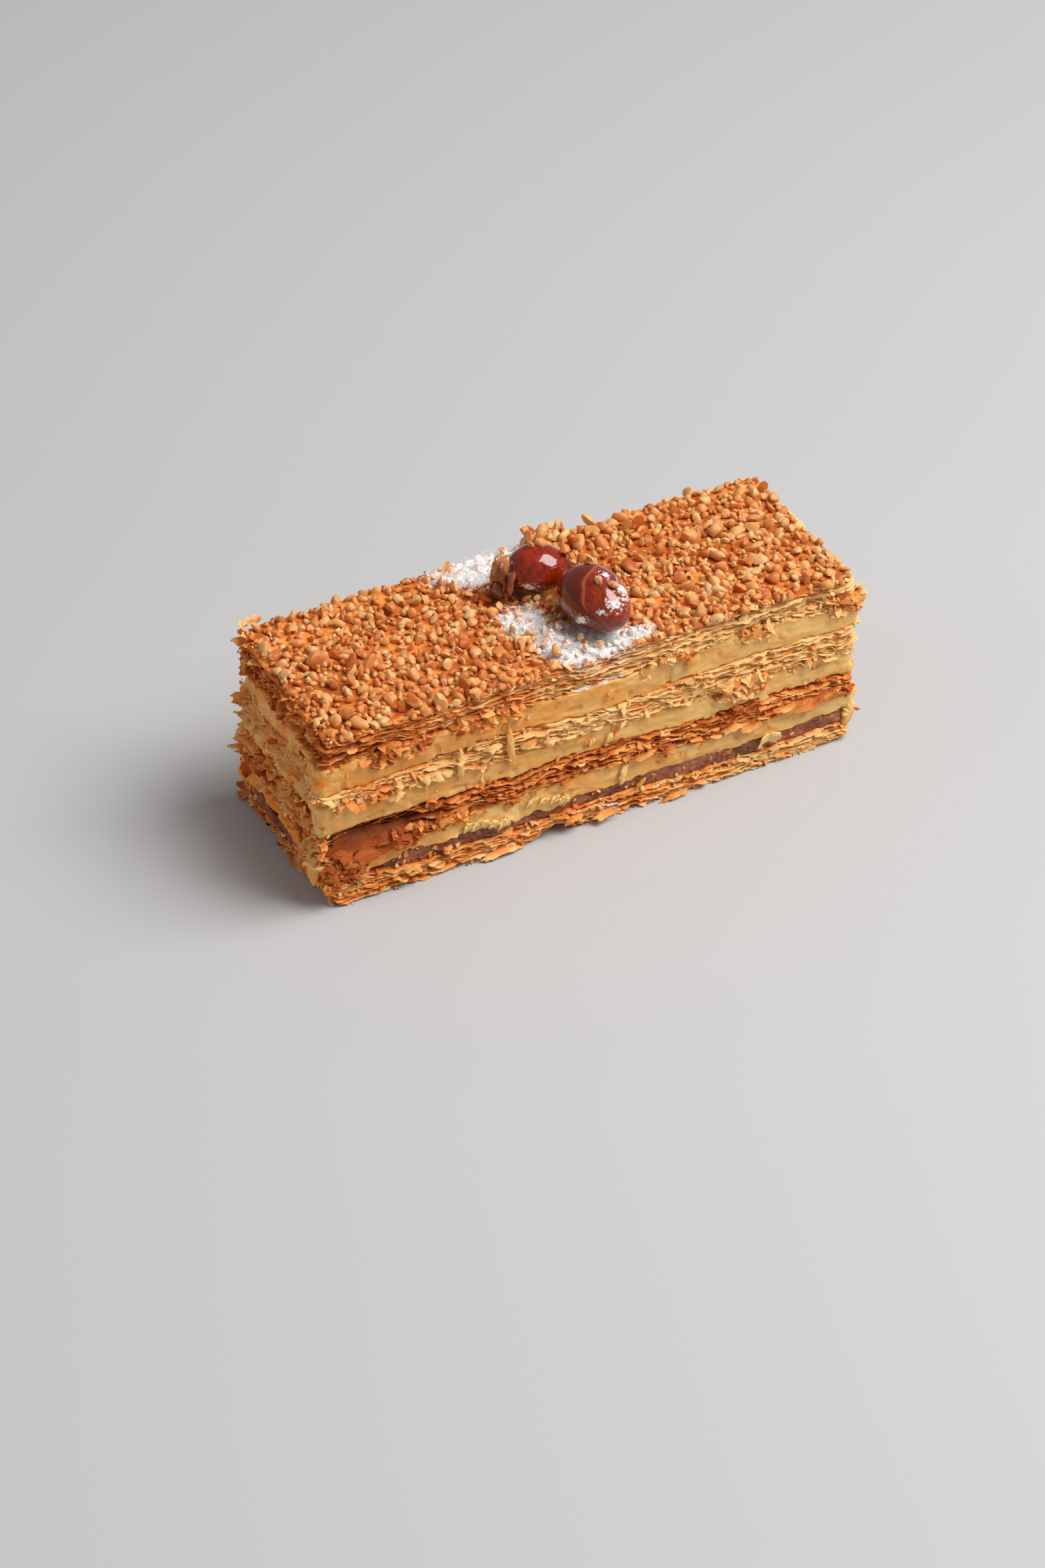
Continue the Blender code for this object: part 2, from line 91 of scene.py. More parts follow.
# Hollows that the photo shows: whether on the front or on the left end, place along that side,
# height, half length, half height and depth, in millimetres.
HOLLOWS = (
    ("front", -54.8, 35.8, 2.2, 0.6, 1.8), ("front", -33.0, 34.6, 3.6, 0.5, 1.5),
    ("front", -35.5, 40.0, 4.0, 0.3, 1.0), ("front", -28.5, 40.8, 3.5, 0.3, 1.0),
    ("front", -33.5, 27.2, 3.4, 1.0, 1.4), ("front", -28.0, 27.2, 1.6, 1.0, 1.7),
    ("front", -15.0, 27.3, 3.2, 0.6, 1.4), ("front", -56.0, 26.4, 1.4, 0.4, 1.4),
    ("front", -54.5, 24.6, 1.6, 0.4, 1.4), ("front", -47.0, 25.6, 1.8, 0.5, 1.6),
    ("front", -38.9, 15.0, 4.6, 1.2, 5.4), ("front", -48.4, 13.6, 10.8, 3.2, 3.4),
    ("front", -49.0, 16.4, 9.0, 1.2, 5.6), ("front", -42.5, 15.4, 4.4, 1.1, 5.6),
    ("front", -1.0, 34.2, 1.2, 0.4, 1.4), ("front", 42.6, 36.8, 1.2, 0.8, 1.3),
    ("front", 47.6, 36.2, 2.0, 0.7, 1.6), ("front", 36.2, 35.3, 1.3, 0.4, 1.5),
    ("front", 11.4, 25.6, 1.4, 0.4, 1.4), ("front", 18.4, 26.6, 1.6, 0.4, 1.4),
    ("front", 27.4, 25.0, 1.5, 0.5, 1.8), ("front", 34.0, 25.8, 1.4, 0.5, 1.5),
    ("front", 38.0, 27.0, 0.8, 0.9, 1.4), ("front", 27.8, 21.0, 2.3, 0.9, 1.5),
    ("front", 36.0, 23.0, 1.8, 0.7, 1.5), ("front", 7.8, 16.4, 2.4, 0.9, 1.6),
    ("front", 1.5, 14.6, 1.8, 0.5, 1.5), ("front", 18.2, 12.6, 2.0, 0.8, 1.7),
    ("front", 46.2, 11.3, 2.1, 0.6, 1.2), ("front", -23.0, 36.0, 3.0, 0.4, 1.2),
    ("front", 5.0, 35.6, 2.6, 0.3, 1.2), ("front", -36.0, 17.0, 3.0, 0.3, 1.0),
    ("front", 14.0, 15.6, 3.2, 0.3, 1.2), ("front", 31.0, 14.6, 3.4, 0.3, 1.1),
    ("left", 5.0, 33.6, 9.0, 1.2, 1.3), ("left", -9.0, 33.4, 4.0, 1.0, 1.3),
    ("left", -8.5, 27.6, 2.2, 1.4, 0.9), ("left", 4.5, 35.0, 1.0, 1.0, 1.6),
    ("left", -4.5, 16.8, 1.2, 0.8, 1.2), ("left", 4.0, 9.4, 9.0, 0.8, 1.2),
    ("left", -10.0, 9.4, 4.0, 0.8, 1.4), ("left", 13.5, 26.2, 1.0, 0.5, 1.0),
    ("left", 2.5, 6.0, 13.0, 1.3, 1.2), ("left", -3.0, 36.6, 9.0, 1.0, 1.6), ("left", 9.0, 38.6, 7.0, 0.8, 1.4),
)

# The height grid over the slice, in millimetres.
GRID_X = np.arange(-57.0, 57.5, 2.0) * MM
GRID_Y = np.linspace(-18.6, 18.6, 9) * MM

# How brown each layer is painted at its left, middle and right, from pale at -1 to dark at 1:
# partly how it baked and partly painted light, paler towards the right where the key light is.
BROWNING_AND_LIGHT = {
    "pastry_base": (0.06, 0.10, -0.30),
    "praline_paste": (0.0, 0.0, 0.0),
    "cream_lower": (0.55, 0.30, -0.20),
    "pastry_lower": (0.46, 0.46, 0.24),
    "cream_middle": (0.15, 0.15, -0.30),
    "pastry_middle": (-0.28, -0.56, -0.56),
    "cream_upper": (0.55, 0.15, -0.20),
    "pastry_top": (0.36, -0.22, -0.85),
}

# How much darker each layer is painted at the left end, which faces away from the key light, and how
# much paler where the number is below nought: painted light and shade.
END_LIGHT_AND_SHADE = {
    "pastry_base": 0.2, "praline_paste": 0.3, "cream_lower": 0.9, "pastry_lower": -0.45,
    "cream_middle": -0.1, "pastry_middle": -0.1, "cream_upper": -0.5, "pastry_top": 0.0,
}

# Loose leaves that the photo shows: centre, two half directions, bend and thickness in
# millimetres, and tone.
LOOSE_LEAVES = (
    # The first leaf and the last four, low on the front left, are dark partly by their own brown and partly as painted
    # shade under the overhanging cream.
    ((-48.0, -19.4, 12.5), (10.6, -0.1, -1.0), (0.3, -1.7, -2.5), 1.0, 0.3, 1.15),
    ((-52.6, -21.0, 10.0), (3.6, -0.2, 0.2), (0.0, -0.5, -0.8), 0.5, 0.3, 0.60),
    ((-39.4, -20.7, 12.4), (2.0, -0.1, 0.4), (0.1, -0.7, -1.0), 0.5, 0.3, 0.40),
    ((28.4, -21.1, 23.6), (1.9, 0.0, 0.3), (0.1, -0.5, -1.4), 0.4, 0.2, -0.25),
    ((47.0, -20.8, 22.2), (0.9, 0.0, 0.2), (0.3, -0.3, -1.3), 0.3, 0.2, -0.30),
    ((-43.8, -20.7, 22.9), (2.1, 0.0, 0.4), (0.3, -0.5, -1.1), 0.5, 0.2, -0.25),
    ((-35.6, -20.7, 24.6), (2.3, 0.0, -0.3), (0.5, -0.6, -1.3), 0.6, 0.2, -0.20),
    ((-23.2, -20.9, 27.0), (1.9, 0.0, 0.2), (0.0, -0.5, -0.6), 0.5, 0.2, -0.45),
    ((48.6, -20.9, 12.6), (7.6, 0.0, 0.1), (0.2, -0.8, -1.7), 0.5, 0.3, 0.35),
    ((33.6, -20.9, 11.8), (3.8, 0.0, 0.3), (0.1, -0.6, -1.1), 0.4, 0.25, 0.20),
    ((15.4, -21.0, 12.0), (1.6, 0.0, 0.3), (0.2, -0.3, -1.3), 0.4, 0.25, 0.25),
    ((-33.8, -20.9, 12.9), (1.9, 0.0, 0.3), (0.1, -0.4, -0.9), 0.3, 0.25, 0.30),
    ((58.4, -19.8, 6.3), (1.8, -0.2, -0.3), (0.1, -0.3, 0.7), 0.3, 0.3, 0.30),
    ((-37.6, -20.9, 24.6), (1.1, 0.1, 0.2), (0.2, -0.3, -1.0), 0.2, 0.25, -0.10),
    ((-33.0, -20.7, 24.4), (1.5, 0.0, 0.1), (0.1, -0.5, -0.6), 0.2, 0.25, -0.30),
    ((-15.5, -20.8, 24.9), (1.9, 0.0, 0.4), (0.1, -0.4, -1.0), 0.3, 0.25, -0.12),
    ((-11.0, -20.8, 24.2), (1.5, 0.0, 0.2), (0.3, -0.3, -0.8), 0.3, 0.25, -0.38),
    ((-42.0, -21.3, 4.4), (1.6, 0.0, 0.3), (0.1, -0.4, -0.8), 0.3, 0.25, 0.02),
    ((-40.6, -21.5, 3.4), (1.5, 0.1, 0.4), (0.0, -0.6, -0.5), 0.3, 0.25, -0.05),
    ((-33.2, -20.8, 5.4), (1.1, 0.1, 0.2), (0.1, -0.3, -1.0), 0.2, 0.3, -0.25),
    ((-6.0, -21.4, 3.2), (1.9, 0.0, 0.5), (0.1, -0.7, -0.5), 0.4, 0.25, 0.10),
    ((1.2, -21.7, 2.2), (3.1, 0.0, 0.4), (0.1, -0.9, -0.4), 0.5, 0.25, 0.06),
    ((17.0, -21.7, 0.9), (3.6, 0.0, 0.4), (0.1, -0.8, -0.2), 0.5, 0.25, 0.12),
    ((-22.5, -21.6, 1.0), (4.2, 0.0, 0.3), (0.1, -0.9, -0.3), 0.4, 0.25, 0.05),
    ((42.0, -20.8, 13.0), (4.0, 0.0, 0.3), (0.0, -0.5, -0.6), 0.4, 0.3, 0.10),
    ((30.0, -20.8, 12.4), (3.4, 0.0, 0.2), (0.0, -0.6, -0.7), 0.4, 0.3, 0.06),
    ((10.0, -20.8, 12.9), (2.8, 0.0, 0.3), (0.0, -0.5, -0.6), 0.4, 0.3, 0.02),
    ((53.0, -20.8, 13.4), (3.0, 0.2, 0.2), (0.0, -0.5, -0.9), 0.3, 0.3, 0.28),
    ((59.2, -15.6, 5.9), (1.3, -0.4, 0.1), (0.1, 1.1, 0.2), 0.3, 0.3, 0.02),
    ((59.8, -12.5, 23.2), (1.0, -0.2, 0.2), (0.2, 2.2, 0.3), 0.4, 0.3, -0.30),
    ((59.6, 6.0, 22.4), (1.0, 0.2, -0.1), (0.2, 3.0, 0.3), 0.4, 0.3, -0.25),
    ((-24.0, 21.4, 23.6), (3.4, 0.2, 0.4), (0.4, 1.1, 0.9), 0.5, 0.3, -0.35),
    ((-60.2, -9.0, 26.6), (0.9, -0.3, -0.3), (-0.1, 2.4, 0.4), 0.4, 0.25, -0.20),
    ((-60.6, 8.0, 15.5), (0.9, 0.2, -0.2), (0.2, 2.6, 0.2), 0.4, 0.25, 0.25),
    ((-60.4, 15.5, 27.0), (1.1, 0.3, 0.2), (-0.2, 1.7, 0.3), 0.4, 0.25, -0.20),
    ((-61.0, 12.0, 12.4), (1.2, 0.2, -0.3), (0.2, 1.8, 0.2), 0.4, 0.25, 0.20),
    ((-57.2, 18.8, 41.2), (0.3, 1.3, 0.2), (-0.5, 0.3, 0.8), 0.5, 0.2, -0.10),
    ((-56.0, 19.7, 41.3), (1.3, 0.3, 0.1), (0.2, 0.4, 0.8), 0.5, 0.2, -0.15),
    ((-57.8, 16.4, 40.8), (0.3, 1.2, -0.2), (-0.7, 0.1, 0.7), 0.4, 0.2, 0.05),
    ((-53.6, 20.1, 41.0), (1.2, 0.1, 0.2), (0.1, 0.5, 0.7), 0.4, 0.2, 0.00),
    ((-50.8, -21.0, 10.9), (4.2, -0.1, -0.4), (0.2, -0.9, -1.2), 0.6, 0.22, 0.95),
    ((-43.4, -20.9, 11.6), (3.2, -0.1, 0.5), (0.3, -0.8, -1.2), 0.7, 0.22, 0.70),
    ((-55.2, -20.6, 12.2), (2.6, 0.1, -0.5), (0.1, -0.9, -1.2), 0.6, 0.22, 1.00),
    ((-47.0, -20.2, 13.0), (2.6, -0.1, 0.3), (0.2, -0.9, -1.0), 0.5, 0.20, 1.05),
)

# Paste that shows on the left end between the lower cream and the base, in the same form.
PASTE_STRIPS = (
    ((-58.8, 10.0, 6.5), (0.1, 5.0, 0.6), (0.1, 0.2, 0.8), 0.4, 1.2, 0.0),
    ((-58.9, 3.4, 5.9), (0.1, 5.2, 0.2), (0.1, 0.1, 0.9), 0.4, 1.3, 0.0),
    ((-58.9, -4.6, 6.7), (0.1, 5.0, -0.6), (0.1, 0.1, 0.8), 0.4, 1.2, 0.0),
)

# Cream that the knife dragged down over the leaves, and torn lips of cream, in the same form.
CREAM_STRIPS = (
    ((-30.3, -20.8, 25.4), (0.15, 0.0, 4.0), (0.75, 0.0, 0.0), 0.3, 0.5, 0.0),
    ((-19.6, -20.9, 25.6), (-0.25, 0.0, 4.8), (0.9, 0.0, 0.0), 0.3, 0.5, 0.35),
    ((2.3, -20.6, 19.8), (0.3, 0.0, 1.1), (0.6, 0.0, 0.0), 0.2, 0.4, -0.7),
    ((-1.6, -20.6, 20.2), (0.6, 0.0, 0.3), (0.1, 0.0, 0.7), 0.2, 0.4, -0.6),
    ((-28.8, -20.7, 9.2), (0.9, 0.0, 0.2), (0.1, -0.2, 1.0), 0.4, 0.7, -0.6),
    ((-27.0, -20.9, 9.4), (1.0, 0.0, 0.3), (0.2, -0.2, 0.8), 0.4, 0.7, -0.8),
    ((-25.4, -21.0, 9.0), (0.8, 0.0, -0.3), (0.3, -0.3, 0.9), 0.4, 0.7, -0.7),
    ((-23.4, -21.1, 8.2), (1.1, 0.0, -0.2), (0.1, -0.3, 1.1), 0.5, 0.8, -0.8),
    ((-21.6, -21.1, 7.4), (0.9, 0.0, 0.3), (0.3, -0.3, 1.3), 0.5, 0.8, -0.8),
    ((-20.4, -20.9, 7.9), (0.5, 0.0, 0.2), (-0.2, -0.2, 1.4), 0.3, 0.6, -0.5),
    ((-14.8, -20.7, 10.2), (1.2, 0.0, 0.3), (0.1, -0.2, 0.8), 0.4, 0.6, -0.4),
    ((-12.4, -20.8, 9.6), (1.1, 0.0, 0.1), (0.1, -0.2, 0.9), 0.4, 0.6, -0.5),
    ((-10.0, -20.9, 9.2), (1.0, 0.0, 0.2), (0.2, -0.3, 1.0), 0.4, 0.7, -0.7),
    ((-8.2, -21.0, 8.6), (1.0, 0.0, 0.3), (0.1, -0.3, 1.1), 0.5, 0.8, -0.8),
    ((-7.2, -20.9, 8.0), (0.5, 0.0, 0.2), (0.2, -0.2, 0.7), 0.3, 0.6, -0.7),
    ((5.3, -20.8, 9.6), (0.4, 0.0, 2.2), (0.7, 0.0, -0.2), 0.3, 0.5, -0.6),
    ((9.5, -20.8, 6.1), (0.9, -0.1, 0.8), (0.2, 0.0, -0.4), 0.2, 0.4, 0.5),
    ((38.4, -21.0, 6.9), (2.1, -0.1, 0.3), (0.2, -0.4, 1.5), 0.7, 0.7, -0.8),
    ((2.2, -20.7, 30.3), (0.7, 0.0, 0.3), (0.1, -0.1, 1.1), 0.2, 0.5, 0.35),
    ((9.4, -20.7, 30.9), (0.7, 0.0, 0.2), (0.2, -0.1, 0.7), 0.2, 0.4, -0.3),
    ((20.4, -20.6, 32.0), (0.3, 0.0, 1.7), (1.2, 0.0, 0.2), 0.2, 0.35, 0.6),
    ((-60.4, -17.3, 9.6), (0.1, 2.2, 0.2), (0.5, 0.4, 3.0), 0.9, 1.6, 0.35),
    ((57.8, -19.3, 5.8), (1.6, 0.6, 0.2), (0.1, -0.2, 2.8), 0.4, 2.4, 0.1),
)

# Powdered sugar on the top: centre x and y, half sizes along them, and strength.
SUGAR_PATCHES = (
    (-4.3, -13.5, 4.8, 6.8, 1.0),
    (3.4, -13.0, 6.6, 5.6, 0.9),
    (2.5, -17.6, 6.0, 2.4, 0.95),
    (9.8, -16.8, 4.8, 2.2, 0.8),
    (-7.5, -3.0, 4.6, 5.6, 0.75),
    (-9.0, 15.0, 6.0, 5.5, 0.9),
    (-15.0, 17.5, 4.0, 3.5, 0.55),
    (-3.5, 18.5, 6.5, 2.6, 0.9),
)


def srgb(red, green, blue):
    """A linear colour from 8-bit screen values."""
    values = np.array((red, green, blue)) / 255.0
    low = values / 12.92
    high = ((values + 0.055) / 1.055) ** 2.4
    return tuple(float(value) for value in np.where(values <= 0.04045, low, high))


def ease(t):
    """Smooth step from 0 to 1."""
    t = np.clip(t, 0.0, 1.0)
    return t * t * (3.0 - 2.0 * t)


def lattice(cell, seed):
    """A fixed random value from -1 to 1 for each whole-number cell, by mixing its bits."""
    mixed = (cell[..., 0] * 73856093) ^ (cell[..., 1] * 19349663)
    mixed = mixed ^ (cell[..., 2] * 83492791) ^ (int(seed) * 2654435761)
    mixed = ((mixed ^ (mixed >> 13)) & 0xFFFFFFFF) * 1274126177
    mixed = (mixed ^ (mixed >> 16)) & 0xFFFFFF
    return mixed / 8388607.5 - 1.0


def field(points, size, seed, sharp=1.0):
    """Smooth noise: random values on a lattice of that cell size, blended by the smooth step.

    Where sharp is above 1 the values stay level near each lattice point and change quickly
    halfway between, like broken edges.
    """
    place = np.asarray(points, float) / np.asarray(size, float) + 0.37 * seed
    cell = np.floor(place).astype(np.int64)
    share = ease((place - cell - 0.5) * sharp + 0.5)
    total = np.zeros(place.shape[:-1])
    for corner in np.ndindex(2, 2, 2):
        weight = np.prod(np.where(np.array(corner) == 1, share, 1.0 - share), axis=-1)
        total += weight * lattice(cell + np.array(corner), seed)
    return total


def fractal(points, size, seed, octaves=3):
    """Sum of smooth noise at sizes that halve, with strengths that halve."""
    total = 0.0
    for octave in range(octaves):
        total = total + field(points, np.asarray(size) / 2.0**octave, seed + 31 * octave) / 2.0**octave
    return total


def face_heights(node, upper):
    """Heights of a solid's upper or lower face on the height grid, found by vertical rays.

    A place that the ray misses takes the nearest found height along X. The upper face of the top
    sheet takes the lowest of its neighbours, because nuts stand out of it.
    """
    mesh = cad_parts[node].data
    mesh.calc_loop_triangles()
    points = [vert.co for vert in mesh.vertices]
    triangles = [tuple(face.vertices) for face in mesh.loop_triangles]
    tree = BVHTree.FromPolygons(points, triangles)
    start, way = (0.1, Vector((0, 0, -1))) if upper else (-0.1, Vector((0, 0, 1)))
    heights = np.full((len(GRID_X), len(GRID_Y)), np.nan)
    for i, x in enumerate(GRID_X):
        for j, y in enumerate(GRID_Y):
            hit = tree.ray_cast(Vector((x, y, start)), way)[0]
            if hit is not None:
                heights[i, j] = hit.z
    rows = np.arange(len(GRID_X))
    for j in range(len(GRID_Y)):
        found = ~np.isnan(heights[:, j])
        heights[:, j] = np.interp(rows, rows[found], heights[found, j])
    if upper and node == "pastry_top":
        within_x = np.clip(rows, 2, len(rows) - 3)
        within_y = np.clip(np.arange(len(GRID_Y)), 1, len(GRID_Y) - 2)
        heights = heights[within_x][:, within_y]
        padded = np.pad(heights, 2, mode="edge")
        shifts = [padded[i:i + heights.shape[0], j:j + heights.shape[1]] for i in range(5) for j in range(5)]
        heights = np.min(shifts, axis=0)
    return heights


FACES = {node: (face_heights(node, False), face_heights(node, True)) for node in REACH}


def height_at(node, upper, x, y):
    """Height of a layer's face at x and y, blended between the grid's four nearest places."""
    grid = FACES[node][int(upper)]
    i = np.interp(x, GRID_X, np.arange(len(GRID_X)))
    j = np.interp(y, GRID_Y, np.arange(len(GRID_Y)))
    i0 = np.minimum(i.astype(int), len(GRID_X) - 2)
    j0 = np.minimum(j.astype(int), len(GRID_Y) - 2)
    u, v = i - i0, j - j0
    near = grid[i0, j0] * (1 - v) + grid[i0, j0 + 1] * v
    far = grid[i0 + 1, j0] * (1 - v) + grid[i0 + 1, j0 + 1] * v
    return near * (1 - u) + far * u


def wander(layer, upper, x, y):
    """How far a seam between two layers strays from the solid's: noise at two sizes.

    On the left end the seams also leave their heights at the front corner, by smooth steps.
    """
    seam = ORDER.index(layer) + int(upper)
    if seam in (0, len(ORDER)):
        return 0.0 * x
    spots = np.stack((x, y, 0.0 * x), axis=-1)
    stray = 0.46 * field(spots, 4.2 * MM, 40 + seam) + 0.34 * field(spots, 1.5 * MM, 60 + seam, 2.0)
    left = ease((-46 - x / MM) / 10) * ease((y / MM + 17) / 8)
    return (stray + LEFT_RISE[seam] * left) * MM


def face_z(layer, upper, x, y):
    """Height of a layer's face with its straying seam.

    The base's underside arches over the floor near the middle of its front. Near the left end
    the lowest cream's underside keeps above the paste.
    """
    z = height_at(layer, upper, x, y) + wander(layer, upper, x, y)
    if layer == "pastry_base" and not upper:
        z = z + 1.7 * MM * np.exp(-(((x / MM + 9.0) / 3.2) ** 2)) * ease((-y / MM - 14.0) / 5.0)
    if layer == "cream_lower" and not upper:
        beyond = ease((y / MM + 14) / 8) * ease((-46 - x / MM) / 4)
        paste = height_at("praline_paste", True, x, y) + wander("praline_paste", True, x, y)
        z = z + beyond * np.maximum(paste - z, 0.0)
    return z


def hollow_at(x, y, z):
    """How deep the hollows are at a place: ellipses with a flat floor on the front and left end."""
    sides = {"front": (x, ease((-y / MM - 17.5) / 2.0)), "left": (y, ease((-x / MM - 55.5) / 2.0))}
    depth = 0.0 * z
    for side, along, height, wide, tall, deep in HOLLOWS:
        where, facing = sides[side]
        away = ((where / MM - along) / wide) ** 2 + ((z / MM - height) / tall) ** 2
        depth = np.maximum(depth, deep * np.exp(-(away**2)) * facing)
    return depth * MM


def outline(layer, step):
    """Places round a layer's side, evenly spaced, and outward directions.

    The path is a rectangle with quarter circles at its corners, walked from the front left
    corner along the front: each side is a straight run and then an arc.
    """
    left, right, front, back = (value * MM for value in REACH[layer])
    radii = np.array(CORNERS) * MM
    sides = np.array((right - left, back - front, right - left, back - front))
    runs = sides - radii - np.roll(radii, 1)
    arcs = 0.5 * np.pi * radii
    total = runs.sum() + arcs.sum()
    count = int(round(total / step))
    way = np.arange(count) * total / count
    places = np.zeros((count, 2))
    outward = np.zeros((count, 2))
    starts = (
        (left + radii[3], front), (right, front + radii[0]), (right - radii[1], back), (left, back - radii[2]))
    begin = 0.0
    for side, start in enumerate(starts):
        angle = 0.5 * np.pi * (side - 1)
        along = np.array((np.cos(angle + 0.5 * np.pi), np.sin(angle + 0.5 * np.pi)))
        out = np.array((np.cos(angle), np.sin(angle)))
        straight = (way >= begin) & (way < begin + runs[side])
        places[straight] = start + (way[straight] - begin)[:, None] * along
        outward[straight] = out
        begin += runs[side]
        bend = (way >= begin) & (way < begin + arcs[side])
        turn = angle + (way[bend] - begin) / radii[side]
        outward[bend] = np.stack((np.cos(turn), np.sin(turn)), axis=-1)
        centre = np.array(start) + runs[side] * along - radii[side] * out
        places[bend] = centre + radii[side] * outward[bend]
        begin += arcs[side]
    if layer == "praline_paste":
        slant = -11.6 * MM * ease((places[:, 1] / MM + 18) / 13)
        share = np.clip((0.0 - places[:, 0]) / 0.047, 0.0, 1.0)
        places[:, 0] += slant * share**2
    dent = LEFT_DENT.get(layer, 0.0) * MM
    places[:, 0] += dent * ease((-56.0 - places[:, 0] / MM) / 3) * ease((places[:, 1] / MM + 19) / 9)
    return places, outward


def browning_and_light(layer, points):
    """Painted tone of a layer, partly baking and partly painted light: blended along X, and changed at the left end by
    layer with painted light and shade.
    """
    x = np.asarray(points)[..., 0] / MM
    return np.interp(x, (-46.0, -6.0, 40.0), BROWNING_AND_LIGHT[layer]) + END_LIGHT_AND_SHADE[layer] * ease((-x - 56.0) / 2.0)


def middle_line(layer, places):
    """The nearest place on a layer's middle line, to which its faces close."""
    left, right, front, back = (value * MM for value in REACH[layer])
    half = 0.5 * (back - front)
    x = np.clip(places[:, 0], left + half, right - half)
    return np.stack((x, np.full(len(x), front + half)), axis=-1)


def tube_faces(rows, columns, start=0, closed=True):
    """Quads of a grid whose rows wrap round, and whose columns wrap too where it is closed."""
    row = np.arange(rows)[:, None]
    column = np.arange(columns if closed else columns - 1)[None, :]
    next_row = (row + 1) % rows
    next_column = (column + 1) % columns
    corners = (
        row * columns + column,
        next_row * columns + column,
        next_row * columns + next_column,
        row * columns + next_column,
    )
    return start + np.stack(np.broadcast_arrays(*corners), axis=-1).reshape(-1, 4)


def add_piece(name, points, faces, mat, slot, smooth=True, replaces=None, merge=0.0, **marks):
    """Make a piece from arrays of places and faces, with marks: one number a place, by name."""
    mesh = bpy.data.meshes.new(name)
    points = np.asarray(points, np.float32).reshape(-1, 3)
    groups = [np.asarray(group, np.int32) for group in faces]
    loops = np.concatenate([group.ravel() for group in groups])
    sizes = np.concatenate([np.full(len(group), group.shape[1], np.int32) for group in groups])
    starts = np.concatenate(([0], np.cumsum(sizes)[:-1])).astype(np.int32)
    mesh.vertices.add(len(points))
    mesh.vertices.foreach_set("co", points.ravel())
    mesh.loops.add(len(loops))
    mesh.loops.foreach_set("vertex_index", loops)
    mesh.polygons.add(len(sizes))
    mesh.polygons.foreach_set("loop_start", starts)
    mesh.polygons.foreach_set("use_smooth", np.full(len(sizes), smooth))
    for mark, values in marks.items():
        layer = mesh.attributes.new(mark, "FLOAT", "POINT")
        layer.data.foreach_set("value", np.asarray(values, np.float32).ravel())
    mesh.update(calc_edges=True)
    mesh.validate()
    if merge:
        joined = bmesh.new()
        joined.from_mesh(mesh)
        bmesh.ops.remove_doubles(joined, verts=joined.verts, dist=merge)
        joined.to_mesh(mesh)
        joined.free()
    mesh.materials.append(mat)
    piece = bpy.data.objects.new(name, mesh)
    bpy.context.scene.collection.objects.link(piece)
    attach(piece, BODY)
    if replaces:
        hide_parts(replaces)
    return piece


def sugar_at(points):
    """How much powdered sugar lies at a place: soft ellipses, broken up by noise."""
    points = np.asarray(points, float)
    amount = np.zeros(points.shape[:-1])
    for x, y, half_x, half_y, strength in SUGAR_PATCHES:
        away = ((points[..., 0] / MM - x) / half_x) ** 2 + ((points[..., 1] / MM - y) / half_y) ** 2
        amount = np.maximum(amount, strength * np.exp(-0.9 * away**1.6))
    rough = fractal(points * (1, 1, 0.4), 2.6 * MM, 501) + 0.35 * field(points * (1, 1, 0.4), 0.8 * MM, 502)
    return np.clip(amount * (1.0 + 0.8 * rough) * (1.0 - 1.1 * dark_patch_by_chip(points)), 0.0, 1.0)


def random_turns(draw, count):
    """Evenly random rotation matrices, from unit quaternions."""
    w, x, y, z = (draw.normal(size=(count, 4)) * 1.0).T
    length = np.sqrt(w * w + x * x + y * y + z * z)
    w, x, y, z = w / length, x / length, y / length, z / length
    rows = (
        (1 - 2 * (y * y + z * z), 2 * (x * y - z * w), 2 * (x * z + y * w)),
        (2 * (x * y + z * w), 1 - 2 * (x * x + z * z), 2 * (y * z - x * w)),
        (2 * (x * z - y * w), 2 * (y * z + x * w), 1 - 2 * (x * x + y * y)),
    )
    return np.stack([np.stack(row, axis=-1) for row in rows], axis=1)


def ball(subdivisions):
    """Directions and triangles of a subdivided icosahedron."""
    mesh = bmesh.new()
    bmesh.ops.create_icosphere(mesh, subdivisions=subdivisions, radius=1.0)
    mesh.verts.index_update()
    points = np.array([vert.co[:] for vert in mesh.verts])
    faces = np.array([[vert.index for vert in face.verts] for face in mesh.faces])
    mesh.free()
    return points, faces


def chunks(places, sizes, draw, shape_low, shape_high, planes=9, detail=2, edge=9.0):
    """Chopped chunks: balls cut by random planes, stretched, turned and moved to their places.

    Along each direction the radius is the soft minimum of the distances to the planes: the
    planes' shares are summed at a high power and its root is turned over.
    """
    way, triangles = ball(detail)
    count = len(places)
    normals = draw.normal(size=(count, planes, 3))
    normals /= np.linalg.norm(normals, axis=-1, keepdims=True)
    depth = draw.uniform(0.55, 1.0, (count, planes))
    share = np.maximum(np.einsum("vi,cpi->cvp", way, normals), 0.0) / depth[:, None, :]
    radius = 1.0 / np.maximum((share**edge).sum(axis=-1) ** (1.0 / edge), 0.8)
    paint = draw.uniform(-1.0, 1.0, (count, planes))
    cut = np.take_along_axis(paint, share.argmax(axis=-1), axis=1)
    local = way[None] * radius[..., None]
    local = local * (draw.uniform(shape_low, shape_high, (count, 3)) * sizes[:, None] * 0.5)[:, None, :]
    turned = np.einsum("cvi,cji->cvj", local, random_turns(draw, count))
    points = turned + np.asarray(places)[:, None, :]
    faces = triangles[None] + (np.arange(count) * len(way))[:, None, None]
    return points, faces.reshape(-1, 3), cut


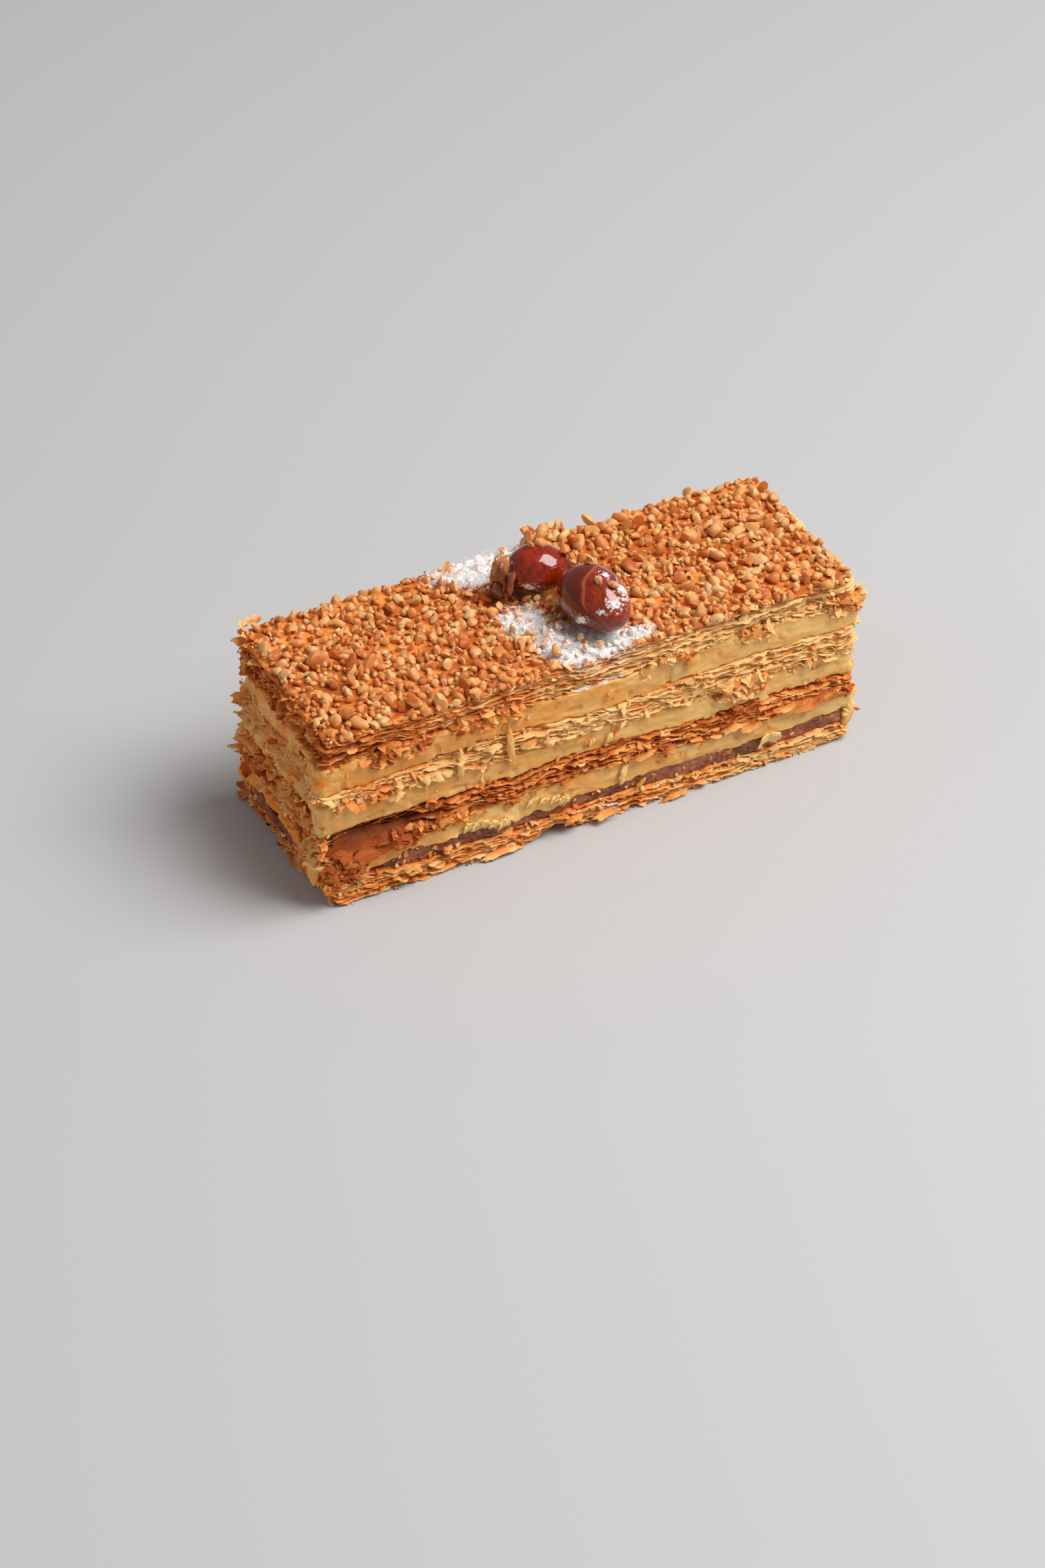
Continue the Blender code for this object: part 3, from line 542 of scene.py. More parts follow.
def shards(places, facing, sizes, draw, thickness, curl=0.5, corners=9):
    """Broken leaves: thin curved patches with ragged outlines.

    Each is three rings of points round a middle, with a random radius at each corner. Its height
    is a bend along one axis and a twist, and its two faces lie half the thickness apart.
    """
    rings = np.array((0.0, 0.45, 0.8, 1.0))
    count = len(places)
    angle = np.arange(corners) * 2 * np.pi / corners
    radius = draw.uniform(0.5, 1.15, (count, corners))
    long = sizes * draw.uniform(0.8, 1.25, count)
    short = sizes * draw.uniform(0.45, 0.85, count)
    u = rings[None, 1:, None] * (radius * np.cos(angle))[:, None, :]
    v = rings[None, 1:, None] * (radius * np.sin(angle))[:, None, :]
    u = np.concatenate((np.zeros((count, 1)), u.reshape(count, -1)), axis=1)
    v = np.concatenate((np.zeros((count, 1)), v.reshape(count, -1)), axis=1)
    bend = draw.uniform(-curl, curl, (count, 1)) * sizes[:, None]
    twist = draw.uniform(-0.5 * curl, 0.5 * curl, (count, 1)) * sizes[:, None]
    middle = bend * u * u + twist * u * v
    rim = np.minimum(u * u + v * v, 1.0)
    half = 0.5 * thickness * (1.0 - 0.6 * rim)
    flat = np.stack((0.5 * u * long[:, None], 0.5 * v * short[:, None]), axis=-1)
    upper = np.concatenate((flat, (middle + half)[..., None]), axis=-1)
    lower = np.concatenate((flat, (middle - half)[..., None]), axis=-1)
    local = np.concatenate((upper, lower), axis=1)
    facing = facing / np.linalg.norm(facing, axis=-1, keepdims=True)
    spin = draw.normal(size=(count, 3))
    side = np.cross(facing, spin)
    side /= np.linalg.norm(side, axis=-1, keepdims=True)
    other = np.cross(facing, side)
    basis = np.stack((side, other, facing), axis=1)
    points = np.einsum("cvi,cij->cvj", local, basis) + np.asarray(places)[:, None, :]
    ring = np.arange(corners)
    after = (ring + 1) % corners
    size = 1 + 3 * corners
    fan = np.stack((np.zeros(corners, int), 1 + ring, 1 + after), axis=-1)
    quads = []
    for inner in range(2):
        a, b = 1 + inner * corners, 1 + (inner + 1) * corners
        quads.append(np.stack((a + ring, b + ring, b + after, a + after), axis=-1))
    top = np.concatenate(quads)
    last = 1 + 2 * corners
    rim_quads = np.stack((last + after, last + ring, size + last + ring, size + last + after), axis=-1)
    tri = np.concatenate((fan, size + fan[:, ::-1]))
    quad = np.concatenate((top, size + top[:, ::-1], rim_quads))
    offset = (np.arange(count) * 2 * size)[:, None, None]
    return points, [(tri[None] + offset).reshape(-1, 3), (quad[None] + offset).reshape(-1, 4)]


def sheet_leaves(layer, count, thickness, ragged, seed, depth=3.4 * MM, step=0.45 * MM):
    """Thin leaves that run round a sheet's side, as closed ribbons.

    Across a ribbon, u goes from its inner to its outer edge, out along the upper side and back
    along the lower one. A ribbon's level is its share of the sheet's height, from spacings that
    are the exponential of noise, so that leaves bunch and part. Its reach is noise at three
    sizes, stronger at the ends, less deep notches and plus sharp tips where noise is high, and
    its edge curls with the square of u.
    """
    places, outward = outline(layer, step)
    inner = places - 1.0 * MM * outward
    low = face_z(layer, False, inner[:, 0], inner[:, 1])
    high = face_z(layer, True, inner[:, 0], inner[:, 1])
    spots = np.concatenate((places, np.zeros((len(places), 1))), axis=1)
    lift = np.array((0.0, 0.0, 1.0))
    gaps = [np.exp(1.1 * field(spots + lift * 0.03 * j, 9 * MM, seed)) for j in range(count + 1)]
    level = np.cumsum(gaps, axis=0) / np.sum(gaps, axis=0)
    upper = np.array((0.0, 0.55, 0.78, 0.92, 1.0))
    lower = np.array((0.98, 0.86, 0.6, 0.0))
    across = np.concatenate((upper, lower))
    side = np.concatenate((np.full(5, 1.0), np.full(4, -1.0)))
    side[4] = 0.3
    ends = np.abs(outward[:, 0])
    torn = ragged * (1.0 + 1.2 * ends + 0.7 * np.maximum(-outward[:, 0], 0.0))
    all_points, all_faces, tones = [], [], []
    start = 0
    for j in range(count):
        here = spots + lift * (0.071 * j)
        reach = 0.34 * field(here, 6.0 * MM, seed + 1) + 0.34 * field(here, 2.8 * MM, seed + 2, 5.0)
        reach = reach + 0.20 * field(here, 1.1 * MM, seed + 3, 3.0)
        notch = ease((field(here, 5.0 * MM, seed + 4) - 0.30) / 0.15)
        tip = ease((field(here, 1.5 * MM, seed + 10) - 0.45) / 0.3)
        flare = FLARE.get(layer, 0.0) * ends * (1.0 - level[j])
        height = low + (high - low) * level[j]
        reach = (torn * (reach + 0.5 * tip) - 0.9 * notch + flare) * MM
        reach = np.maximum(reach - hollow_at(places[:, 0], places[:, 1], height), 0.3 * MM - depth)
        thick = thickness * (1.0 + 0.5 * field(here, 2.2 * MM, seed + 5))
        curl = 0.34 * MM * field(here, 4.5 * MM, seed + 6) + 0.30 * MM * field(here, 2.3 * MM, seed + 7, 5.0)
        out = -depth + (depth + reach)[:, None] * across
        edge = np.clip((out + 2.2 * MM) / (2.2 * MM), 0.0, 1.3)
        z = height[:, None] + curl[:, None] * edge**2
        z = z + 0.5 * thick[:, None] * side * (1.0 - 0.5 * across**4)
        xy = places[:, None, :] + out[..., None] * outward[:, None, :]
        points = np.concatenate((xy, z[..., None]), axis=-1)
        points[..., 2] += 0.10 * MM * field(points + lift * (0.03 * j), 0.9 * MM, seed + 8)
        all_points.append(points.reshape(-1, 3))
        all_faces.append(tube_faces(len(places), len(across), start)[:, ::-1])
        start += points.shape[0] * points.shape[1]
        tone = 0.35 * field(here, 7.0 * MM, seed + 9) + 0.3 * field(here, 2.6 * MM, seed + 11, 5.0)
        tone = tone + 0.2 * np.sin(2.4 * j + seed) + browning_and_light(layer, here)
        # Painted shade: each leaf is darker towards its inner edge, deep in the slits, and paler at its outer edge.
        tones.append((tone[:, None] - 0.9 * (across - 0.8)).ravel())
    return np.concatenate(all_points), np.concatenate(all_faces), np.concatenate(tones)


def sheet_core(layer, inset, seed, step=0.5 * MM, rows=14):
    """The closed block inside a sheet: rings from the middle line out, up its rough side and back.

    The side lies the inset within the leaves, moved by noise that is much finer in height than
    along the sheet, like pressed leaves.
    """
    places, outward = outline(layer, step)
    middle = middle_line(layer, places)
    edge = places - inset * outward
    drop = 0.45 * MM if layer == "pastry_top" else 0.12 * MM
    low = face_z(layer, False, edge[:, 0], edge[:, 1]) + 0.12 * MM
    high = face_z(layer, True, edge[:, 0], edge[:, 1]) - drop
    columns = []
    for share, upper in ((0.0, 0), (0.5, 0), (0.93, 0)):
        xy = middle + (edge - middle) * share
        z = height_at(layer, False, xy[:, 0], xy[:, 1]) + 0.12 * MM
        columns.append(np.concatenate((xy, z[:, None]), axis=1))
    for rise in np.linspace(0.0, 1.0, rows):
        z = low + (high - low) * rise
        here = np.concatenate((edge, z[:, None]), axis=1)
        out = 0.55 * MM * fractal(here, (2.4 * MM, 2.4 * MM, 0.5 * MM), seed)
        out = out - hollow_at(places[:, 0], places[:, 1], z)
        xy = edge + outward * out[:, None]
        columns.append(np.concatenate((xy, z[:, None]), axis=1))
    for share in (0.93, 0.5, 0.0):
        xy = middle + (edge - middle) * share
        z = height_at(layer, True, xy[:, 0], xy[:, 1]) - drop
        columns.append(np.concatenate((xy, z[:, None]), axis=1))
    points = np.stack(columns, axis=1)
    # Painted shade: the core is painted darker than the leaves, as the shade in the gaps between them.
    tone = 0.65 + 0.4 * fractal(points, (3 * MM, 3 * MM, 0.8 * MM), seed + 1) + browning_and_light(layer, points)
    return points.reshape(-1, 3), tube_faces(len(places), points.shape[1], closed=False), tone


def side_places(layer, count, draw, low_share=0.05, high_share=0.95, inward=(0.0, 1.0), spread=1.0):
    """Random places on a layer's side: place, outward direction, and share of its height.

    A spread below 1 draws them towards the seams, by the beta distribution.
    """
    places, outward = outline(layer, 0.25 * MM)
    weight = 1.0 + 1.6 * np.abs(outward[:, 0])
    pick = draw.choice(len(places), count, p=weight / weight.sum())
    spot, out = places[pick], outward[pick]
    share = low_share + (high_share - low_share) * draw.beta(spread, spread, count)
    flare = FLARE.get(layer, 0.0) * np.abs(out[:, 0]) * (1.0 - share)
    spot = spot + (flare - draw.uniform(*inward, count))[:, None] * MM * out
    low = face_z(layer, False, spot[:, 0], spot[:, 1])
    high = face_z(layer, True, spot[:, 0], spot[:, 1])
    z = low + (high - low) * share
    spot = spot - hollow_at(spot[:, 0], spot[:, 1], z)[:, None] * out
    return np.concatenate((spot, z[:, None]), axis=1), out, share


def flake(centre, along, across, bend, thickness, seed, sides=6, rough=0.16, rows=72, rings=7):
    """A broken leaf: a patch stretched along two directions, in millimetres.

    Rings go out on one face and back on the other. The outline is a polygon, the nearest of
    several straight breaks along each direction, or between a circle and a square where there are
    none; noise roughens it, and the patch bends with the square of its first direction.
    """
    centre, along, across = (np.array(value, float) for value in (centre, along, across))
    angle = (np.arange(rows) * 2 * np.pi / rows)[:, None]
    turn = np.concatenate((np.cos(angle), np.sin(angle), 0 * angle), axis=1)
    outer = (np.abs(turn[:, :1]) ** 3.0 + np.abs(turn[:, 1:2]) ** 3.0) ** (-1 / 3.0)
    if sides:
        draw = np.random.default_rng(seed)
        breaks = (np.arange(sides) + draw.uniform(-0.35, 0.35, sides)) * 2 * np.pi / sides
        reach = draw.uniform(0.72, 1.0, sides) / np.maximum(np.cos(angle - breaks), 0.05)
        outer = np.minimum(reach.min(axis=1, keepdims=True), 1.3)
    edge = fractal(turn, 0.8, seed)[:, None] + 0.8 * field(turn, 0.16, seed + 3)[:, None]
    outer = outer * (1.0 + rough * edge)
    share = np.concatenate((np.linspace(0, 1, rings), np.linspace(1, 0, rings)))[None, :]
    side = np.concatenate((np.ones(rings), -np.ones(rings)))[None, :]
    u, v = turn[:, :1] * outer * share, turn[:, 1:2] * outer * share
    normal = np.cross(along, across)
    normal = normal / np.linalg.norm(normal)
    flat = np.stack(np.broadcast_arrays(u, v, 0 * u), axis=-1)
    waves = 0.35 * field(flat, 0.7, seed + 1) + 0.16 * field(flat, 0.25, seed + 2)
    rise = bend * (u * u - 0.3) + waves * (0.15 + abs(bend)) + 0.5 * thickness * side * (1.0 - 0.75 * share**3)
    points = centre + u[..., None] * along + v[..., None] * across + rise[..., None] * normal
    return points.reshape(-1, 3) * MM, tube_faces(rows, 2 * rings, closed=False), v.ravel()


def flakes(table, seed, sides=6, rough=0.16):
    """Several loose leaves as one mesh: places, faces, and tones that fall along each leaf's width."""
    all_points, all_faces, tones = [], [], []
    start = 0
    for number, (centre, along, across, bend, thickness, tone) in enumerate(table):
        points, faces, lean = flake(centre, along, across, bend, thickness, seed + 7 * number, sides, rough)
        all_points.append(points)
        all_faces.append(faces + start)
        start += len(points)
        # Tone falls along each leaf's second direction. On the leaves on the sides, where that points down, their upper
        # part is painted darker as shade under the layer above.
        tones.append(tone - 0.3 * lean)
    return np.concatenate(all_points), np.concatenate(all_faces), np.concatenate(tones)


def ramp(tree, stops, factor):
    """A colour ramp from places and colours."""
    node = tree.nodes.new("ShaderNodeValToRGB")
    elements = node.color_ramp.elements
    while len(elements) < len(stops):
        elements.new(0.5)
    for element, (place, colour) in zip(elements, stops):
        element.position = place
        element.color = (*colour, 1.0)
    tree.links.new(factor, node.inputs["Fac"])
    return node.outputs["Color"]


def noise(tree, vector, scale, detail=3.0, rough=0.55):
    """A noise texture's value, for a vector in metres."""
    node = tree.nodes.new("ShaderNodeTexNoise")
    node.inputs["Scale"].default_value = scale
    node.inputs["Detail"].default_value = detail
    node.inputs["Roughness"].default_value = rough
    tree.links.new(vector, node.inputs["Vector"])
    return node.outputs["Fac"]


def maths(tree, kind, first, second=None, third=None, clamp=False):
    """A maths node on sockets or numbers."""
    node = tree.nodes.new("ShaderNodeMath")
    node.operation = kind
    node.use_clamp = clamp
    for socket, value in zip(node.inputs, (first, second, third)):
        if value is None:
            continue
        if isinstance(value, (int, float)):
            socket.default_value = value
        else:
            tree.links.new(value, socket)
    return node.outputs["Value"]


def mixed(tree, factor, first, second, blend="MIX"):
    """A colour mix on sockets or colours."""
    node = tree.nodes.new("ShaderNodeMix")
    node.data_type = "RGBA"
    node.blend_type = blend
    for socket, value in ((node.inputs["Factor"], factor), (node.inputs[6], first), (node.inputs[7], second)):
        if isinstance(value, (int, float)):
            socket.default_value = value
        elif isinstance(value, tuple):
            socket.default_value = (*value, 1.0)
        else:
            tree.links.new(value, socket)
    return node.outputs[2]


def mark(tree, name):
    """The value of a piece's own mark."""
    node = tree.nodes.new("ShaderNodeAttribute")
    node.attribute_name = name
    return node.outputs["Fac"]


def place(tree):
    """Object coordinates."""
    return tree.nodes.new("ShaderNodeTexCoord").outputs["Object"]


def relief(tree, shader, height, distance, strength=1.0):
    """Bump from a height in 0 to 1 over a depth in metres."""
    node = tree.nodes.new("ShaderNodeBump")
    node.inputs["Strength"].default_value = strength
    node.inputs["Distance"].default_value = distance
    tree.links.new(height, node.inputs["Height"])
    tree.links.new(node.outputs["Normal"], shader.inputs["Normal"])


def new_group(name, inputs, outputs):
    """An empty node group with named sockets."""
    group = bpy.data.node_groups.new(name, "ShaderNodeTree")
    for socket, kind in inputs:
        group.interface.new_socket(socket, in_out="INPUT", socket_type=kind)
    for socket, kind in outputs:
        group.interface.new_socket(socket, in_out="OUTPUT", socket_type=kind)
    entry = group.nodes.new("NodeGroupInput")
    result = group.nodes.new("NodeGroupOutput")
    return group, entry, result


def bake_group():
    """Baked colour: pale, golden, brown and burnt by a tone that noise at two sizes breaks up."""
    if "baked_colour" in bpy.data.node_groups:
        return bpy.data.node_groups["baked_colour"]
    group, entry, result = new_group(
        "baked_colour",
        (("Pale", "NodeSocketColor"), ("Golden", "NodeSocketColor"), ("Brown", "NodeSocketColor"),
         ("Tone", "NodeSocketFloat")),
        (("Color", "NodeSocketColor"), ("Height", "NodeSocketFloat")),
    )
    where = place(group)
    coarse = noise(group, where, 260.0)
    fine = noise(group, where, 1300.0, 4.0, 0.65)
    tone = maths(group, "MULTIPLY_ADD", maths(group, "SUBTRACT", coarse, 0.5), 1.5, entry.outputs["Tone"])
    tone = maths(group, "MULTIPLY_ADD", maths(group, "SUBTRACT", fine, 0.5), 0.8, tone)
    lighter = maths(group, "MULTIPLY_ADD", tone, -2.2, 0.1, clamp=True)
    darker = maths(group, "MULTIPLY_ADD", tone, 2.0, -0.25, clamp=True)
    colour = mixed(group, lighter, entry.outputs["Golden"], entry.outputs["Pale"])
    colour = mixed(group, darker, colour, entry.outputs["Brown"])
    colour = mixed(group, maths(group, "MULTIPLY_ADD", tone, 1.1, -1.0, clamp=True), colour, srgb(104, 44, 18))
    group.links.new(colour, result.inputs["Color"])
    group.links.new(maths(group, "MULTIPLY_ADD", coarse, 0.4, fine), result.inputs["Height"])
    return group


def dust_group():
    """Powdered sugar over a colour, by a mask that fine noise makes patchy."""
    if "sugar_dust" in bpy.data.node_groups:
        return bpy.data.node_groups["sugar_dust"]
    group, entry, result = new_group(
        "sugar_dust",
        (("Color", "NodeSocketColor"), ("Sugar", "NodeSocketColor"), ("Amount", "NodeSocketFloat")),
        (("Color", "NodeSocketColor"), ("Mask", "NodeSocketFloat")),
    )
    patchy = noise(group, place(group), 1700.0, 3.0, 0.7)
    cover = maths(group, "MULTIPLY_ADD", maths(group, "SUBTRACT", patchy, 0.5), 2.2, entry.outputs["Amount"])
    cover = maths(group, "MULTIPLY_ADD", cover, 2.6, -0.75, clamp=True)
    cover = maths(group, "MULTIPLY", cover, maths(group, "MULTIPLY", entry.outputs["Amount"], 6.0, clamp=True))
    group.links.new(mixed(group, cover, entry.outputs["Color"], entry.outputs["Sugar"]), result.inputs["Color"])
    group.links.new(cover, result.inputs["Mask"])
    return group


def grouped(tree, group, **inputs):
    """A group node with its inputs set or linked."""
    node = tree.nodes.new("ShaderNodeGroup")
    node.node_tree = group
    for name, value in inputs.items():
        if isinstance(value, tuple):
            node.inputs[name].default_value = (*value, 1.0)
        elif isinstance(value, (int, float)):
            node.inputs[name].default_value = value
        else:
            tree.links.new(value, node.inputs[name])
    return node


def new_material(name, roughness, coat=0.0, coat_roughness=0.1, subsurface=0.0, radius=(1.0, 0.5, 0.2),
                 scale=0.001, specular=0.5):
    """A Principled material, its tree and its shader."""
    mat = bpy.data.materials.new(name)
    mat.use_nodes = True
    shader = mat.node_tree.nodes["Principled BSDF"]
    shader.inputs["Roughness"].default_value = roughness
    shader.inputs["Coat Weight"].default_value = coat
    shader.inputs["Coat Roughness"].default_value = coat_roughness
    shader.inputs["Subsurface Weight"].default_value = subsurface
    shader.inputs["Subsurface Radius"].default_value = radius
    shader.inputs["Subsurface Scale"].default_value = scale
    shader.inputs["Specular IOR Level"].default_value = specular
    return mat, mat.node_tree, shader


def pastry_material(name, pale, golden, brown):
    """Baked leaves: three baked colours by each leaf's tone, a fine crumb relief and a butter sheen."""
    mat, tree, shader = new_material(name, 0.6, subsurface=0.12, scale=0.0012, specular=0.2)
    baked = grouped(tree, bake_group(), Pale=pale, Golden=golden, Brown=brown, Tone=mark(tree, "tone"))
    dusted = grouped(
        tree, dust_group(), Color=baked.outputs["Color"], Sugar=srgb(246, 240, 236), Amount=mark(tree, "sugar"))
    tree.links.new(dusted.outputs["Color"], shader.inputs["Base Color"])
    relief(tree, shader, baked.outputs["Height"], 0.00025, 0.5)
    return mat


def cream_material(name, bright, mid, stained_and_shaded):
    """Custard cream: yellow with browner smears, moist, and light passes a little way in."""
    mat, tree, shader = new_material(
        name, 0.38, coat=0.06, coat_roughness=0.25, subsurface=0.35, radius=(1.0, 0.66, 0.3), scale=0.0018,
        specular=0.3)
    where = place(tree)
    stretch = tree.nodes.new("ShaderNodeMapping")
    stretch.inputs["Scale"].default_value = (1.0, 1.0, 2.6)
    tree.links.new(where, stretch.inputs["Vector"])
    wide = noise(tree, stretch.outputs["Vector"], 95.0, 3.0)
    fine = noise(tree, stretch.outputs["Vector"], 700.0, 4.0, 0.6)
    tone = maths(tree, "ADD", maths(tree, "MULTIPLY_ADD", wide, 1.3, -0.65), mark(tree, "tone"))
    tone = maths(tree, "MULTIPLY_ADD", maths(tree, "SUBTRACT", fine, 0.5), 0.3, tone)
    factor = maths(tree, "MULTIPLY_ADD", tone, 0.5, 0.5, clamp=True)
    colour = ramp(tree, ((0.15, bright), (0.5, mid), (0.95, stained_and_shaded)), factor)
    tree.links.new(colour, shader.inputs["Base Color"])
    relief(tree, shader, maths(tree, "MULTIPLY_ADD", wide, 0.6, fine), 0.0002, 0.6)
    return mat


def paste_material(paste, dark, pale):
    """Praline paste: brown, with darker and paler grains."""
    mat, tree, shader = new_material("praline_paste_surface", 0.55, subsurface=0.08)
    where = place(tree)
    grains = noise(tree, where, 1500.0, 4.0, 0.7)
    patches = noise(tree, where, 220.0)
    tone = maths(tree, "MULTIPLY_ADD", maths(tree, "SUBTRACT", patches, 0.5), 0.9, grains)
    colour = ramp(tree, ((0.3, dark), (0.5, paste), (0.78, pale)), tone)
    tree.links.new(colour, shader.inputs["Base Color"])
    relief(tree, shader, grains, 0.0003, 0.8)
    return mat


def nut_bit_material(name, flesh, roasted, dark, sugar):
    """Chopped roasted nuts: paler cut faces, browner skins, and a thin shiny coat of sugar."""
    mat, tree, shader = new_material(
        name, 0.5, coat=0.07, coat_roughness=0.22, subsurface=0.35, scale=0.0009, specular=0.3)
    where = place(tree)
    speckle = noise(tree, where, 1500.0, 3.0, 0.6)
    tone = maths(tree, "MULTIPLY_ADD", mark(tree, "cut"), 0.28, 0.5)
    tone = maths(tree, "MULTIPLY_ADD", mark(tree, "tone"), 0.30, tone)
    tone = maths(tree, "MULTIPLY_ADD", maths(tree, "SUBTRACT", speckle, 0.5), 0.5, tone)
    colour = ramp(tree, ((0.1, flesh), (0.5, roasted), (0.95, dark)), tone)
    dusted = grouped(tree, dust_group(), Color=colour, Sugar=sugar, Amount=mark(tree, "sugar"))
    tree.links.new(dusted.outputs["Color"], shader.inputs["Base Color"])
    relief(tree, shader, speckle, 0.0001, 0.5)
    return mat


def glaze_material(name, kernel, streak, dark_glaze_and_shade, sugar):
    """A roasted nut under boiled sugar: streaked red kernel, dark pooled glaze that also paints shade, and a hard
    gloss.
    """
    mat, tree, shader = new_material(
        name, 0.3, coat=1.0, coat_roughness=0.03, subsurface=0.1, radius=(1.0, 0.25, 0.1), scale=0.0015,
        specular=0.15)
    where = place(tree)
    stretch = tree.nodes.new("ShaderNodeMapping")
    stretch.inputs["Scale"].default_value = (3.2, 0.8, 2.0)
    tree.links.new(where, stretch.inputs["Vector"])
    streaks = noise(tree, stretch.outputs["Vector"], 420.0, 3.0, 0.6)
    body = ramp(tree, ((0.32, streak), (0.62, kernel)), streaks)
    # The dark glaze goes where the front nut's glaze is thick, and as painted shade under the nuts and on the back
    # nut's edges.
    glaze_and_shade = maths(tree, "MULTIPLY_ADD", maths(tree, "SUBTRACT", noise(tree, where, 160.0), 0.5), 0.6, mark(tree, "glaze_and_shade"))
    colour = mixed(tree, maths(tree, "MULTIPLY_ADD", glaze_and_shade, 1.8, -0.4, clamp=True), body, dark_glaze_and_shade)
    colour = mixed(tree, maths(tree, "MULTIPLY", mark(tree, "seam"), 0.7), colour, srgb(190, 112, 66))
    dusted = grouped(tree, dust_group(), Color=colour, Sugar=sugar, Amount=mark(tree, "sugar"))
    tree.links.new(dusted.outputs["Color"], shader.inputs["Base Color"])
    bare = maths(tree, "SUBTRACT", 1.0, dusted.outputs["Mask"], clamp=True)
    tree.links.new(bare, shader.inputs["Coat Weight"])
    tree.links.new(maths(tree, "MULTIPLY_ADD", dusted.outputs["Mask"], 0.6, 0.22), shader.inputs["Roughness"])
    relief(tree, shader, streaks, 0.0001, 0.25)
    return mat


def caramel_material(thin, thick):
    """Thin caramel: from brown to lighter by each petal's darkness and a cloud of noise, glossy."""
    mat, tree, shader = new_material(
        "caramel_surface", 0.2, coat=0.6, coat_roughness=0.06, subsurface=0.3, radius=(1.0, 0.4, 0.15), scale=0.002)
    cloud = noise(tree, place(tree), 420.0, 3.0)
    depth = maths(tree, "MULTIPLY_ADD", mark(tree, "tone"), -0.3, cloud)
    tree.links.new(ramp(tree, ((0.2, thick), (0.6, thin)), depth), shader.inputs["Base Color"])
    relief(tree, shader, cloud, 0.0003, 0.5)
    return mat


def sugar_material(colour, shade):
    """Powdered sugar: bright, matte and slightly see-through grains."""
    mat, tree, shader = new_material("powdered_sugar", 0.8, subsurface=0.6, radius=(1.0, 0.9, 0.85), scale=0.0012)
    tone = noise(tree, place(tree), 900.0, 2.0)
    tree.links.new(ramp(tree, ((0.3, shade), (0.6, colour)), tone), shader.inputs["Base Color"])
    relief(tree, shader, noise(tree, place(tree), 6000.0, 2.0), 0.00008, 0.6)
    return mat


class PastrySettings(bpy.types.PropertyGroup):
    """Sizes and colours of the baked sheets."""

    leaves: bpy.props.IntProperty(
        name="Leaves", description="Thin baked leaves that show in each sheet's side", default=13, min=5, max=14)
    thickness: bpy.props.FloatProperty(
        name="Leaf thickness", description="Thickness of one baked leaf", default=0.30 * MM, unit="LENGTH",
        precision=5)
    ragged: bpy.props.FloatProperty(
        name="Raggedness", description="How far the leaves' edges wander in and out", default=1.0)
    shards: bpy.props.IntProperty(
        name="Shards", description="Loose broken leaves on each sheet's side", default=300, min=0)
    crumbs: bpy.props.IntProperty(
        name="Crumbs", description="Crumbs on each sheet's side", default=1100, min=0)
    pale: bpy.props.FloatVectorProperty(
        name="Pale", description="Colour of the palest leaves", subtype="COLOR", default=srgb(247, 197, 127))
    golden: bpy.props.FloatVectorProperty(
        name="Golden", description="Colour of well baked leaves", subtype="COLOR", default=srgb(243, 151, 73))
    # The cores and the inner edges of the leaves are painted towards this colour as shade in the gaps.
    brown: bpy.props.FloatVectorProperty(
        name="Brown", description="Colour of the darkest leaves", subtype="COLOR", default=srgb(178, 84, 28))


class FillingSettings(bpy.types.PropertyGroup):
    """Sizes and colours of the cream and the paste."""

    recess: bpy.props.FloatProperty(
        name="Recess", description="How far the cream's side lies behind the leaves", default=0.12 * MM,
        unit="LENGTH", precision=5)
    bright: bpy.props.FloatVectorProperty(
        name="Bright cream", description="Colour of fresh cream", subtype="COLOR", default=srgb(247, 207, 131))
    mid: bpy.props.FloatVectorProperty(
        name="Cream", description="Main colour of the cream", subtype="COLOR", default=srgb(241, 184, 104))
    # Where the cream is painted as shade, in its hollows and at the lower cream's left end, it also takes this colour.
    stained_and_shaded: bpy.props.FloatVectorProperty(
        name="Stained cream", description="Colour of cream smeared with crumbs", subtype="COLOR",
        default=srgb(244, 150, 44))
    paste: bpy.props.FloatVectorProperty(
        name="Paste", description="Colour of the praline paste", subtype="COLOR", default=srgb(156, 88, 58))


class ToppingSettings(bpy.types.PropertyGroup):
    """Sizes and colours of what lies on the top sheet."""

    spacing: bpy.props.FloatProperty(
        name="Nut spacing", description="Distance between neighbouring chopped nuts", default=1.40 * MM,
        unit="LENGTH", precision=5)
    bit_size: bpy.props.FloatProperty(
        name="Nut size", description="Middle size of the chopped nuts", default=1.55 * MM, unit="LENGTH",
        precision=5)
    caramel: bpy.props.FloatVectorProperty(
        name="Caramelised top", description="Colour of the top sheet between the nuts", subtype="COLOR",
        default=srgb(186, 98, 38))
    flesh: bpy.props.FloatVectorProperty(
        name="Nut flesh", description="Colour of cut nut faces", subtype="COLOR", default=srgb(223, 185, 128))
    roasted: bpy.props.FloatVectorProperty(
        name="Roasted nut", description="Main colour of the chopped nuts", subtype="COLOR",
        default=srgb(224, 150, 82))
    dark: bpy.props.FloatVectorProperty(
        name="Dark nut", description="Colour of the most roasted nuts", subtype="COLOR",
        default=srgb(186, 88, 28))
    sugar: bpy.props.FloatVectorProperty(
        name="Sugar", description="Colour of the powdered sugar", subtype="COLOR", default=srgb(250, 245, 242))
    grains: bpy.props.IntProperty(
        name="Sugar grains", description="Loose grains of powdered sugar", default=7000, min=0)


class StageSettings(bpy.types.PropertyGroup):
    """The floor, the light and the camera."""

    floor: bpy.props.FloatVectorProperty(
        name="Floor", description="Colour of the floor", subtype="COLOR", default=srgb(190, 189, 189))
    key: bpy.props.FloatProperty(
        name="Key light", description="Power of the large soft light", default=16.0, unit="POWER")
    side: bpy.props.FloatProperty(
        name="Side light", description="Power of the weak light from the back left", default=1.6, unit="POWER")
    fill: bpy.props.FloatProperty(
        name="Fill light", description="Strength of the light from all round", default=0.23)
    lens: bpy.props.FloatProperty(
        name="Lens", description="Focal length of the camera in millimetres", default=100.0)


